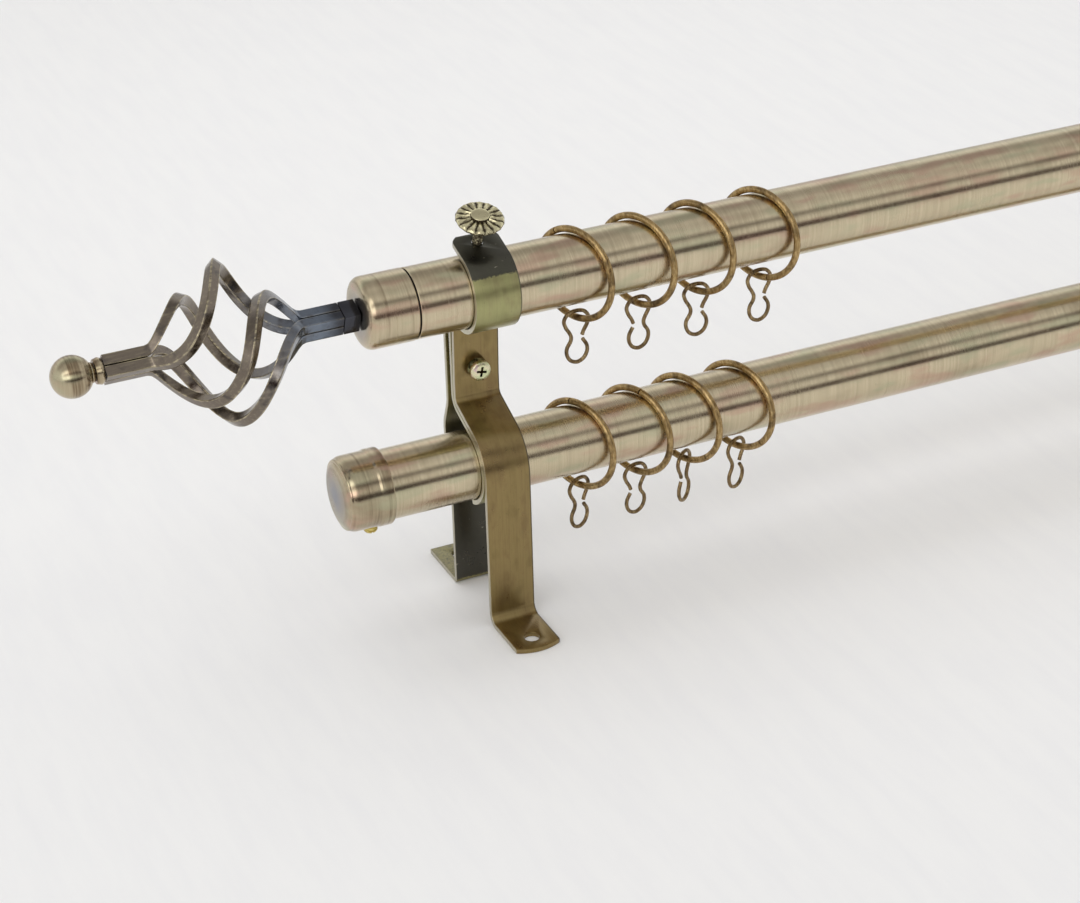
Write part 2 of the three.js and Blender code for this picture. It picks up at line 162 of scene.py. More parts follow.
# Steel plated in antique brass and brushed round the axis: fine rings of light and dark, with soft
# bands of reflection that run straight along the pole, and slow clouds of tarnish under the lacquer.
def brushedBrass(name, darker=0.0):
    made, tree, shader = newMaterial(name)
    look = brassLook
    fine = noiseInMm(tree, (look["brushPitch"], look["brushLength"], look["brushLength"]), 4, 0.62)
    broad = noiseInMm(tree, (2.3, 60, 60), 2, 0.5, (3.0, 1.0, 2.0))
    clouds = noiseInMm(tree, (look["mottle"] * 2, look["mottle"], look["mottle"]), 3, 0.55)
    tint = noiseInMm(tree, (look["mottle"] * 1.6, 7, 7), 2, 0.5, (7.0, 5.0, 1.0))
    base = blendColours(tree, stretch(tree, fine, 0.32, 0.7), look["mid"], look["pale"])
    base = blendColours(tree, stretch(tree, broad, 0.48, 0.68, 0, 0.14 + darker * 3), base, look["antique"])
    tarnish = stretch(tree, clouds, 0.5, 0.78, darker, 0.42 + darker)
    base = blendColours(tree, tarnish, base, look["antique"])
    base = blendColours(tree, stretch(tree, tint, 0.52, 0.7, 0, 0.55), base, look["warm"])
    base = blendColours(tree, stretch(tree, tint, 0.47, 0.3, 0, 0.5), base, look["cool"])
    bloom = sums(tree, "MULTIPLY", pointValue(tree, "face"), stretch(tree, clouds, 0.3, 0.6, 0.7, 1.2))
    base = blendColours(tree, bloom, base, look["heat"])
    tangent = addNode(tree, "ShaderNodeTangent", direction_type="UV_MAP", uv_map="along")
    plug(tree, shader, {
        "Base Color": base,
        "Roughness": stretch(tree, sums(tree, "ADD", fine, clouds), 0.7, 1.3, 0.28, 0.19),
        "Metallic": 1.0,
        "Anisotropic": look["anisotropy"],
        "Tangent": tangent.outputs[0],
        "Coat Weight": 0.2,
        "Coat Roughness": 0.22,
    })
    bumpFrom(tree, shader, fine, 0.03 + darker * 0.25, 0.04)
    return made


darkLook = {
    "blue": "#7B8593",
    "brown": "#796F64",
    "soot": "#403F43",
    "worn": "#BFB496",
}


# Blackened steel bar: blue-grey scale near the cap that fades to brown, rubbed bright on its corners.
def oxidisedSteel(name, capEnd):
    made, tree, shader = newMaterial(name)
    look = darkLook
    along = sums(tree, "ABSOLUTE", objectPlace(tree)["X"])
    scale = noiseInMm(tree, (6, 6, 6), 4, 0.6)
    streaks = noiseInMm(tree, (9, 1.1, 1.1), 3, 0.6, (2.0, 0.0, 0.0))
    spots = noiseInMm(tree, (1.3, 1.3, 1.3), 3, 0.6, (0.0, 4.0, 0.0))
    reach = sums(tree, "ADD", along, sums(tree, "MULTIPLY", scale, 14 * mm))
    brownPart = stretch(tree, reach, (capEnd + 22) * mm, (capEnd + 58) * mm)
    base = blendColours(tree, brownPart, look["blue"], look["brown"])
    base = blendColours(tree, stretch(tree, scale, 0.5, 0.7, 0, 0.6), base, look["soot"])
    burnt = stretch(tree, reach, (capEnd + 24) * mm, (capEnd + 15) * mm, 0, 0.9)
    base = blendColours(tree, burnt, base, look["soot"])
    rubbed = pointValue(tree, "corner")
    uneven = stretch(tree, streaks, 0.38, 0.66, 0.1, 0.9)
    wear = sums(tree, "MULTIPLY", stretch(tree, rubbed, 0.5, 1.0), uneven)
    wear = sums(tree, "MULTIPLY", wear, stretch(tree, brownPart, 0, 1, 0.2, 1))
    bright = sums(tree, "MULTIPLY", brownPart, stretch(tree, streaks, 0.5, 0.75, 0, 0.28))
    wear = sums(tree, "MAXIMUM", wear, bright)
    base = blendColours(tree, wear, base, look["worn"])
    gloss = stretch(tree, spots, 0.3, 0.7, 0.12, 0.26)
    plug(tree, shader, {"Base Color": base, "Roughness": gloss, "Metallic": 1.0})
    bumpFrom(tree, shader, sums(tree, "ADD", scale, spots), 0.1, 0.1)
    return made


lacquerLook = {
    "burnt": "#403F3A",     # nearly black: the dark band, where the flange's lacquer was baked thick and at the rear strap's foot; also the painted shade along each strip's inner edge
    "steel": "#BDB7A4",     # bare metal where the strip was sheared
    "edgeWidth": 0.28,
    "edgeWander": 0.25,     # how far the border of the lacquer strays along the edge
    "fade": 24,             # height over which the dark band gives way above its upper limit
}


# Bronze lacquer over strip steel: a satin olive skin with faint drawing lines down the strip, brown where
# it is thick, a dark band between two given heights, a pale sheared edge along both sides, and a painted
# shade line along the inner edge.
def stripLacquer(name, gold, olive, brown, darkAbove, darkBelow):
    made, tree, shader = newMaterial(name)
    look = lacquerLook
    apart = objectPlace(tree)
    outward = sums(tree, "SUBTRACT", sums(tree, "ABSOLUTE", apart["X"]), bracketX * mm)
    offset = sums(tree, "ABSOLUTE", outward)
    rough = noiseInMm(tree, (4, 4, 4), 4, 0.6)
    lines = noiseInMm(tree, (0.7, 22, 22), 3, 0.6)
    clouds = noiseInMm(tree, (7, 11, 16), 3, 0.55, (1.0, 2.0, 3.0))
    specks = noiseInMm(tree, (0.8, 0.8, 0.8), 2, 0.6)
    scuffs = noiseInMm(tree, (5, 1.2, 2.6), 4, 0.75, (6.0, 4.0, 2.0))
    base = blendColours(tree, stretch(tree, clouds, 0.35, 0.7, 0.1, 0.9), gold, olive)
    base = blendColours(tree, stretch(tree, clouds, 0.6, 0.34, 0, 0.6), base, brown)
    base = blendColours(tree, stretch(tree, lines, 0.4, 0.75, 0, 0.22), base, brown)
    height = sums(tree, "ADD", apart["Z"], sums(tree, "MULTIPLY", specks, 1.6 * mm))
    # A dark band between two heights: the hook strap's flange, where the lacquer was baked thick, and the
    # rear strap from its foot up to the inner pole.
    burnt = stretch(tree, height, (darkAbove + 0.4) * mm, (darkAbove + 1.2) * mm, 0, 0.94)
    fading = stretch(tree, height, (darkBelow + look["fade"]) * mm, darkBelow * mm)
    burnt = sums(tree, "MULTIPLY", burnt, fading)
    base = blendColours(tree, burnt, base, look["burnt"])
    scratched = sums(tree, "MULTIPLY", burnt, stretch(tree, scuffs, 0.66, 0.7, 0, 0.7))
    base = blendColours(tree, scratched, base, look["steel"])
    base = blendColours(tree, stretch(tree, specks, 0.68, 0.78, 0, 0.45), base, "#2E2A1E")
    half = strapWidth / 2 * mm
    wander = look["edgeWander"] * mm
    wavy = sums(tree, "ADD", offset, sums(tree, "MULTIPLY", rough, wander))
    border = half + wander / 2
    bare = stretch(tree, wavy, border - look["edgeWidth"] * mm, border)
    base = blendColours(tree, sums(tree, "MULTIPLY", bare, 0.8), base, look["steel"])
    # Painted shade: a dark line along each strip's inner edge, its shadow side, in the nearly black lacquer
    # colour.
    inner = stretch(tree, outward, 0.8 * mm - half, 0.35 * mm - half, 0, 0.7)
    base = blendColours(tree, inner, base, look["burnt"])
    plug(tree, shader, {
        "Base Color": base,
        "Roughness": stretch(tree, sums(tree, "ADD", rough, clouds), 0.7, 1.3, 0.27, 0.42),
        "Metallic": 0.95,
        "Coat Weight": 0.35,
        "Coat Roughness": 0.28,
    })
    bumpFrom(tree, shader, sums(tree, "ADD", lines, sums(tree, "MULTIPLY", rough, 0.6)), 0.09, 0.08)
    return made


# Bronze plated wire, drawn and bent: long die lines round the ring and darker plating in patches.
def platedWire(name, pale, mid, dark):
    made, tree, shader = newMaterial(name)
    patches = noiseInMm(tree, (3.5, 5, 5), 4, 0.6)
    fine = noiseInMm(tree, (0.5, 2.4, 2.4), 3, 0.6, (1.0, 0.0, 4.0))
    base = blendColours(tree, stretch(tree, fine, 0.35, 0.7), mid, pale)
    base = blendColours(tree, stretch(tree, patches, 0.46, 0.72, 0, 0.85), base, dark)
    gloss = stretch(tree, patches, 0.3, 0.7, 0.24, 0.4)
    plug(tree, shader, {"Base Color": base, "Roughness": gloss, "Metallic": 1.0})
    bumpFrom(tree, shader, fine, 0.16, 0.06)
    return made


# Zinc plate with a yellow passivate: pale straw metal with a drifting pink and green film, and dark brown
# painted shade in the screw head's cross recess.
def yellowZinc(name):
    made, tree, shader = newMaterial(name)
    film = noiseInMm(tree, (3, 3, 3), 2, 0.5)
    grain = noiseInMm(tree, (0.5, 0.5, 0.5), 3, 0.6)
    base = blendColours(tree, stretch(tree, film, 0.4, 0.5), "#D5DAAE", "#E6DFBC")
    base = blendColours(tree, stretch(tree, film, 0.55, 0.68, 0, 0.8), base, "#DDBBC2")
    base = blendColours(tree, stretch(tree, grain, 0.55, 0.8, 0, 0.4), base, "#8D845C")
    # Painted shade: dark brown in the cross recess, which the screw head marks.
    base = blendColours(tree, pointValue(tree, "recess"), base, "#43341F")
    gloss = stretch(tree, grain, 0.3, 0.7, 0.22, 0.38)
    plug(tree, shader, {"Base Color": base, "Roughness": gloss, "Metallic": 1.0})
    bumpFrom(tree, shader, grain, 0.12, 0.05)
    return made


# Cast brass, blackened and then polished: dark in every hollow, bright and yellow on the high spots. A low
# 'high' value set over a whole piece is painted shade, as on the thumbscrew shank.
def castBrass(name):
    made, tree, shader = newMaterial(name)
    pits = noiseInMm(tree, (0.9, 0.9, 0.9), 4, 0.65)
    shown = sums(tree, "ADD", pointValue(tree, "high"), stretch(tree, pits, 0.3, 0.7, -0.22, 0.22))
    base = blendColours(tree, stretch(tree, shown, 0.15, 0.75), "#42392D", "#DAD2AC")
    base = blendColours(tree, stretch(tree, pits, 0.58, 0.74, 0, 0.7), base, "#6A5334")
    gloss = stretch(tree, shown, 0.2, 0.9, 0.45, 0.16)
    plug(tree, shader, {"Base Color": base, "Roughness": gloss, "Metallic": 1.0})
    bumpFrom(tree, shader, pits, 0.3, 0.12)
    return made


# Machined brass of the set screw: plain bright yellow metal with turning marks.
def machinedBrass(name):
    made, tree, shader = newMaterial(name)
    marks = noiseInMm(tree, (2, 2, 0.4), 3, 0.6)
    base = blendColours(tree, stretch(tree, marks, 0.35, 0.68), "#A88F44", "#E2D388")
    gloss = stretch(tree, marks, 0.3, 0.7, 0.2, 0.34)
    plug(tree, shader, {"Base Color": base, "Roughness": gloss, "Metallic": 1.0})
    bumpFrom(tree, shader, marks, 0.15, 0.05)
    return made


# Moulded black polypropylene of the plug inside the pole: soft sheen and a fine moulded grain.
def mouldedPlastic(name):
    made, tree, shader = newMaterial(name)
    grain = noiseInMm(tree, (0.6, 0.6, 0.6), 3, 0.6)
    base = blendColours(tree, stretch(tree, grain, 0.35, 0.7), "#141312", "#2A2724")
    gloss = stretch(tree, grain, 0.3, 0.7, 0.42, 0.6)
    plug(tree, shader, {"Base Color": base, "Roughness": gloss, "IOR": 1.49})
    bumpFrom(tree, shader, grain, 0.2, 0.08)
    return made


# Painted board under the object: matt white with slow, shallow brush drag.
def whiteBoard(name):
    made, tree, shader = newMaterial(name)
    drag = noiseInMm(tree, (9, 60, 20), 4, 0.6)
    base = blendColours(tree, stretch(tree, drag, 0.3, 0.75), "#F1F1F1", "#EEEEEF")
    plug(tree, shader, {"Base Color": base, "Roughness": 0.75})
    bumpFrom(tree, shader, drag, 0.05, 0.5)
    return made


poleBrass = brushedBrass("brushed_antique_brass")
capBrass = brushedBrass("brushed_antique_brass_turned", 0.12)
ringedBrass = brushedBrass("brushed_antique_brass_ringed", 0.28)
agedBrass = brushedBrass("brushed_antique_brass_aged", 0.35)
darkBar = oxidisedSteel("oxidised_steel", poleEndX + 20)
bandTop = outerHeight + 10      # the hook strap is burnt from here up, over the flange
beyond = 1000                   # higher than the object reaches
hookLacquer = stripLacquer("olive_bronze_lacquer", "#BAB883", "#9B9A68", "#7F7550", bandTop, beyond)
frontLacquer = stripLacquer("brown_bronze_lacquer", "#A6925F", "#857247", "#6C5435", beyond, 2 * beyond)
# The rear strap is darker from its foot up to the inner pole, fading out above it.
rearLacquer = stripLacquer("foot_darkened_bronze_lacquer", "#A5A070", "#8F875A", "#6E6144", 2.2, innerHeight)
ringBronze = platedWire("bronze_plated_wire", "#C2A878", "#987D52", "#544330")
clipBronze = platedWire("dark_bronze_spring_wire", "#A28E68", "#755F45", "#3E3225")
zinc = yellowZinc("yellow_passivated_zinc")
antiqueCast = castBrass("antiqued_cast_brass")
brightBrass = machinedBrass("machined_brass")
plugPlastic = mouldedPlastic("moulded_polypropylene")
print("materials made")


# A piece from points in millimetres: normals made outward, smooth except where it turns sharply
def newPiece(name, points, faces, material, sharpAngle=32):
    mesh = bpy.data.meshes.new(name)
    mesh.from_pydata([[c * mm for c in p] for p in points], [], faces)
    work = bmesh.new()
    work.from_mesh(mesh)
    bmesh.ops.recalc_face_normals(work, faces=work.faces)
    work.to_mesh(mesh)
    work.free()
    mesh.shade_smooth()
    mesh.set_sharp_from_angle(angle=math.radians(sharpAngle))
    piece = bpy.data.objects.new(name, mesh)
    bpy.context.collection.objects.link(piece)
    mesh.materials.append(material)
    return piece


# The evaluated object as a plain mesh, with every modifier applied and removed
def settle(piece, sharpAngle=None):
    graph = bpy.context.evaluated_depsgraph_get()
    mesh = bpy.data.meshes.new_from_object(piece.evaluated_get(graph))
    piece.modifiers.clear()
    piece.data = mesh
    if sharpAngle:
        mesh.shade_smooth()
        mesh.set_sharp_from_angle(angle=math.radians(sharpAngle))
    return piece


def cutAway(piece, tools, operation="DIFFERENCE"):
    for tool in tools:
        cutter = piece.modifiers.new("cut", "BOOLEAN")
        cutter.operation = operation
        cutter.solver = "EXACT"
        cutter.object = tool
    settle(piece)
    for tool in tools:
        bpy.data.objects.remove(tool)
    return piece


def soften(piece, width, segments=2, angle=40):
    bevel = piece.modifiers.new("soft edges", "BEVEL")
    bevel.width = width * mm
    bevel.segments = segments
    bevel.limit_method = "ANGLE"
    bevel.angle_limit = math.radians(angle)
    return settle(piece, 38)


# Hands a piece over: the body that it moves with and the CAD nodes that it stands for; the slot argument is
# not used
def finished(piece, body, slot, *nodes):
    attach(piece, body)
    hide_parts(*nodes)


# A profile's corners rounded: each entry is radius from the axis, place along it, corner radius
def roundedProfile(profile, steps=5):
    points = []
    for i, (radius, along, corner) in enumerate(profile):
        here = Vector((radius, along))
        if not corner or i in (0, len(profile) - 1):
            points.append((radius, along))
            continue
        before = Vector(profile[i - 1][:2])
        after = Vector(profile[i + 1][:2])
        points += [tuple(p) for p in bend(before, here, after, corner, steps)]
    return points


# Points of an arc that rounds the corner between two straight stretches
def bend(before, corner, after, radius, steps):
    back = (before - corner).normalized()
    ahead = (after - corner).normalized()
    half = back.angle(ahead) / 2
    reach = radius / math.tan(half)
    centre = corner + (back + ahead).normalized() * (radius / math.sin(half))
    start = corner + back * reach - centre
    end = corner + ahead * reach - centre
    sweep = math.atan2(start.x * end.y - start.y * end.x, start.dot(end))
    points = []
    for i in range(steps + 1):
        angle = sweep * i / steps
        points.append(centre + Vector((start.x * math.cos(angle) - start.y * math.sin(angle),
                                       start.x * math.sin(angle) + start.y * math.cos(angle))))
    return points


# A turned piece about +X: on-axis ends share one point, and a closed profile makes a tube
def turned(name, profile, material, segments=64, place=None, sharpAngle=32):
    closed = profile[0] == profile[-1]
    rows = profile[:-1] if closed else profile
    points = []
    rings = []
    for radius, along in rows:
        if radius < 1e-6:
            rings.append([len(points)] * segments)
            points.append(Vector((along, 0, 0)))
            continue
        rings.append(list(range(len(points), len(points) + segments)))
        for k in range(segments):
            angle = 2 * math.pi * k / segments
            points.append(Vector((along, radius * math.cos(angle), radius * math.sin(angle))))
    faces = []
    count = len(rings) if closed else len(rings) - 1
    for i in range(count):
        lower = rings[i]
        upper = rings[(i + 1) % len(rings)]
        for k in range(segments):
            n = (k + 1) % segments
            corners = [lower[k], lower[n], upper[n], upper[k]]
            corners = [c for j, c in enumerate(corners) if c not in corners[:j]]
            if len(corners) > 2:
                faces.append(corners)
    if place:
        points = [place @ p for p in points]
    return newPiece(name, points, faces, material, sharpAngle)


# Marks which way the metal's brushing lies, so that its reflections stretch along the pole
def addAlongMap(piece, axis=0):
    mesh = piece.data
    layer = mesh.uv_layers.new(name="along")
    for loop in mesh.loops:
        p = mesh.vertices[loop.vertex_index].co
        layer.data[loop.index].uv = (p[axis] * 4, p[1] * 2 + p[2] * 3)


def setHeights(piece, heightOf, name="high"):
    layer = piece.data.attributes.new(name, "FLOAT", "POINT")
    for i, vertex in enumerate(piece.data.vertices):
        layer.data[i].value = heightOf(vertex.co / mm)


def newTree(name, inputs):
    tree = bpy.data.node_groups.new(name, "GeometryNodeTree")
    tree.interface.new_socket("Geometry", in_out="INPUT", socket_type="NodeSocketGeometry")
    tree.interface.new_socket("Geometry", in_out="OUTPUT", socket_type="NodeSocketGeometry")
    for label, kind in inputs.items():
        tree.interface.new_socket(label, in_out="INPUT", socket_type="NodeSocket" + kind)
    given = addNode(tree, "NodeGroupInput").outputs
    return tree, given


# Every tree ends the same way: real meshes, smooth where wanted, with the material set
def closeTree(tree, given, geometry, smooth=True):
    shaded = addNode(tree, "GeometryNodeSetShadeSmooth", {"Geometry": geometry, "Shade Smooth": smooth})
    real = addNode(tree, "GeometryNodeRealizeInstances", {"Geometry": shaded.outputs[0]})
    painted = addNode(tree, "GeometryNodeSetMaterial", {
        "Geometry": real.outputs[0], "Material": given["Material"],
    })
    addNode(tree, "NodeGroupOutput", {"Geometry": painted.outputs[0]})


# Puts a tree on an object, sets its inputs by their identifiers and returns the result as a mesh
def growPiece(piece, tree, values, sharpAngle=None):
    modifier = piece.modifiers.new(tree.name, "NODES")
    modifier.node_group = tree
    sockets = {s.name: s.identifier for s in tree.interface.items_tree if s.in_out == "INPUT"}
    for label, value in values.items():
        modifier[sockets[label]] = value
    return settle(piece, sharpAngle)


def pathPiece(name, points, material):
    edges = [(i, i + 1) for i in range(len(points) - 1)]
    mesh = bpy.data.meshes.new(name)
    mesh.from_pydata([[c * mm for c in p] for p in points], edges, [])
    mesh.materials.append(material)
    piece = bpy.data.objects.new(name, mesh)
    bpy.context.collection.objects.link(piece)
    return piece


def moved(tree, geometry, rotation=(0, 0, 0), translation=(0, 0, 0)):
    return addNode(tree, "GeometryNodeTransform", {
        "Geometry": geometry, "Rotation": rotation, "Translation": translation,
    }).outputs[0]


def sweep(tree, curve, section):
    return addNode(tree, "GeometryNodeCurveToMesh", {
        "Curve": curve, "Profile Curve": section, "Fill Caps": True,
    }).outputs[0]


def sweepWire(tree, given, curve, sidesOfWire):
    section = addNode(tree, "GeometryNodeCurvePrimitiveCircle", {
        "Resolution": sidesOfWire, "Radius": given["Wire Radius"],
    })
    return sweep(tree, curve, section.outputs[0])


# Ring: an arc of round wire, left open by a slit, laid across the pole
def makeRingTree():
    tree, given = newTree("wire ring", {
        "Ring Radius": "Float", "Wire Radius": "Float", "Slit": "Float", "Slit Angle": "Float",
        "Turn": "Float", "Place": "Vector", "Material": "Material",
    })
    sweep = sums(tree, "SUBTRACT", 2 * math.pi, given["Slit"])
    halfSlit = sums(tree, "MULTIPLY", given["Slit"], 0.5)
    start = sums(tree, "ADD", halfSlit, given["Slit Angle"])
    hoop = addNode(tree, "GeometryNodeCurveArc", {
        "Resolution": 97, "Radius": given["Ring Radius"], "Start Angle": start, "Sweep Angle": sweep,
    })
    wire = sweepWire(tree, given, hoop.outputs[0], 14)
    # the arc lies flat, so it is stood up into the plane across the pole before it is turned and placed
    upright = moved(tree, wire, (math.pi / 2, 0, math.pi / 2))
    spin = addNode(tree, "ShaderNodeCombineXYZ", {"Z": given["Turn"]})
    closeTree(tree, given, moved(tree, upright, spin.outputs[0], given["Place"]))
    return tree


# Clip: round wire along a smooth bent path, with closed ends
def makeWireTree():
    tree, given = newTree("bent wire", {"Wire Radius": "Float", "Material": "Material"})
    line = addNode(tree, "GeometryNodeMeshToCurve", {"Mesh": given["Geometry"]})
    closeTree(tree, given, sweepWire(tree, given, line.outputs[0], 12))
    return tree


# Finial bar: a square section with eased corners swept along a path, each step facing as it is told
def makeBarTree():
    tree, given = newTree("square bar", {"Size": "Float", "Corner": "Float", "Material": "Material"})
    line = addNode(tree, "GeometryNodeMeshToCurve", {"Mesh": given["Geometry"]})
    facing = addNode(tree, "GeometryNodeInputNamedAttribute", {"Name": "facing"}, data_type="FLOAT_VECTOR")
    aimed = addNode(tree, "GeometryNodeSetCurveNormal", {
        "Curve": line.outputs[0], "Normal": facing.outputs["Attribute"],
    }, mode="FREE")
    square = addNode(tree, "GeometryNodeCurvePrimitiveQuadrilateral", {
        "Width": given["Size"], "Height": given["Size"],
    })
    split = addNode(tree, "GeometryNodeSubdivideCurve", {"Curve": square.outputs[0], "Cuts": 4})
    where = addNode(tree, "GeometryNodeInputPosition").outputs[0]
    far = addNode(tree, "ShaderNodeVectorMath", {0: where}, operation="LENGTH").outputs["Value"]
    ratio = sums(tree, "DIVIDE", far, given["Size"])
    corner = stretch(tree, ratio, 0.57, 0.7)
    marked = addNode(tree, "GeometryNodeStoreNamedAttribute", {
        "Geometry": split.outputs[0], "Name": "corner", "Value": corner,
    }, data_type="FLOAT", domain="POINT")
    isCorner = addNode(tree, "FunctionNodeCompare", {"A": ratio, "B": 0.69}, data_type="FLOAT",
                       operation="GREATER_THAN").outputs[0]
    ease = addNode(tree, "GeometryNodeSwitch", {"Switch": isCorner, "False": 0.0, "True": given["Corner"]},
                   input_type="FLOAT").outputs[0]
    eased = addNode(tree, "GeometryNodeFilletCurve", {
        "Curve": marked.outputs[0], "Radius": ease, "Limit Radius": True, "Count": 3,
    }, mode="POLY")
    section = moved(tree, eased.outputs[0], (0, 0, math.pi / 4))
    closeTree(tree, given, sweep(tree, aimed.outputs[0], section))
    return tree


# Knob: one petal repeated round the screw's axis, then leaned with it
def makePetalTree():
    tree, given = newTree("petal round", {
        "Petals": "Int", "Inner Radius": "Float", "Lean": "Float", "Place": "Vector",
        "Material": "Material",
    })
    circle = addNode(tree, "GeometryNodeMeshCircle", {
        "Vertices": given["Petals"], "Radius": given["Inner Radius"],
    })
    index = addNode(tree, "GeometryNodeInputIndex").outputs[0]
    step = sums(tree, "DIVIDE", 2 * math.pi, given["Petals"])
    heading = addNode(tree, "ShaderNodeCombineXYZ", {"Z": sums(tree, "MULTIPLY", index, step)})
    petals = addNode(tree, "GeometryNodeInstanceOnPoints", {
        "Points": circle.outputs[0], "Instance": given["Geometry"], "Rotation": heading.outputs[0],
    })
    lean = addNode(tree, "ShaderNodeCombineXYZ", {"X": given["Lean"]})
    closeTree(tree, given, moved(tree, petals.outputs[0], lean.outputs[0], given["Place"]))
    return tree


ringTree = makeRingTree()
wireTree = makeWireTree()
barTree = makeBarTree()
petalTree = makePetalTree()
print("node trees made")


pole = {"wall": 0.8, "rim": 0.25, "segments": 128}


def makePole(node, body):
    radius = span(node).z / 2
    half = span(node).x / 2
    bore = radius - pole["wall"]
    rim = pole["rim"]
    profile = [
        (bore, -half), (radius - rim, -half), (radius, -half + rim),
        (radius, half - rim), (radius - rim, half), (bore, half), (bore, -half),
    ]
    place = Matrix.Translation((0, 0, middle(node).z))
    piece = turned(node + "_tube", profile, poleBrass, pole["segments"], place)
    addAlongMap(piece)
    finished(piece, body, "pole_brass", node)


makePole("outer_pole", "outer_rod")
makePole("inner_pole", "inner_rod")
print("poles made")


strap = {
    "thickness": 2.0,
    "clearance": 0.4,       # between a pole and the strap round it
    "gap": 0.3,
    "flangeTilt": 18,
    "flangeLength": 13.2,
    "flangeHoleAt": 8.5,
    "hookBack": 12.3,
    "hookCornerHeight": 86,
    "wrapEnd": 256,         # degrees round the inner pole where the hook strap stops
    "rearUpright": 17.8,
    "rearBelly": 22.3,
    "footReach": 45,
    "footHoleReach": 36.4,
    "hookBend": 3.5,        # these are radii on the line through the strip's middle
    "offsetBend": 4,
    "footBend": 5,
    "kneeHeight": 97,       # where the front strap turns in below the cross screw
    "rearTop": 118,
    "footHole": 3.2,        # these are radii
    "screwHole": 2.3,
    "headHole": 3.8,        # in the front strap, under the screw's head
    "drillDepth": 8,
    "edge": 0.28,           # sheared edges are broken by about this much
    "degreesPerStep": 5,
}
outerAxis = Vector((0, outerHeight))
innerAxis = Vector((0, innerHeight))
hug = poleRadius + strap["clearance"] + strap["thickness"] / 2
stackStep = strap["thickness"] + strap["gap"]


def onCircle(centre, radius, degrees):
    return centre + Vector((math.cos(math.radians(degrees)), math.sin(math.radians(degrees)))) * radius


def arc(centre, radius, start, end):
    steps = max(2, math.ceil(abs(end - start) / strap["degreesPerStep"]))
    return [onCircle(centre, radius, start + (end - start) * i / steps) for i in range(steps + 1)]


# A strip bent along a line of the Y-Z plane, with a square section all the way
def stripPiece(name, line, material, centreX):
    half = strap["thickness"] / 2
    points = []
    faces = []
    for i, here in enumerate(line):
        ahead = line[min(i + 1, len(line) - 1)] - here
        behind = here - line[max(i - 1, 0)]
        ahead = ahead if ahead.length > 1e-6 else behind
        behind = behind if behind.length > 1e-6 else ahead
        along = (ahead.normalized() + behind.normalized()).normalized()
        side = Vector((-along.y, along.x)) * (half / along.dot(ahead.normalized()))
        for across, way in ((-1, 1), (1, 1), (1, -1), (-1, -1)):
            spot = here + side * way
            points.append((centreX + across * strapWidth / 2, spot.x, spot.y))
        if i:
            base = 4 * (i - 1)
            for k in range(4):
                n = (k + 1) % 4
                faces.append([base + k, base + n, base + 4 + n, base + 4 + k])
    last = 4 * (len(line) - 1)
    faces += [[3, 2, 1, 0], [last, last + 1, last + 2, last + 3]]
    return newPiece(name, points, faces, material)


# A plain round tool that a hole is cut with
def drill(radius, length, centre, direction, sides=32):
    turn = Vector((1, 0, 0)).rotation_difference(Vector(direction)).to_matrix().to_4x4()
    place = Matrix.Translation(centre) @ turn
    half = length / 2
    return turned("tool", [(0, -half), (radius, -half), (radius, half), (0, half)], zinc, sides, place)


def oblong(halfX, halfY):
    return [(-halfX, -halfY), (halfX, -halfY), (halfX, halfY), (-halfX, halfY)]


# A flat tool: an outline in the X-Y plane, as tall as it is told, turned and placed
def outlineTool(outline, low, high, place=None):
    count = len(outline)
    points = [Vector((x, y, low)) for x, y in outline] + [Vector((x, y, high)) for x, y in outline]
    faces = [list(range(count - 1, -1, -1)), list(range(count, 2 * count))]
    faces += [[i, (i + 1) % count, count + (i + 1) % count, count + i] for i in range(count)]
    if place:
        points = [place @ p for p in points]
    return newPiece("tool", points, faces, zinc)


# Where on the circle round the inner pole the hook strap leaves it, in degrees
def leaveAngle():
    toCorner = Vector((strap["hookBack"], strap["hookCornerHeight"])) - innerAxis
    return math.degrees(math.atan2(toCorner.y, toCorner.x) + math.acos(hug / toCorner.length))


# Where the flange starts, and the way it runs
def flangeLine():
    tilt = math.radians(strap["flangeTilt"])
    start = onCircle(outerAxis, hug, 90 + strap["flangeTilt"])
    return start, Vector((math.cos(tilt), math.sin(tilt)))


def finishStrap(piece, tools, node):
    cutAway(piece, tools)
    soften(piece, strap["edge"])
    finished(piece, "brackets", "strap_lacquer", node)


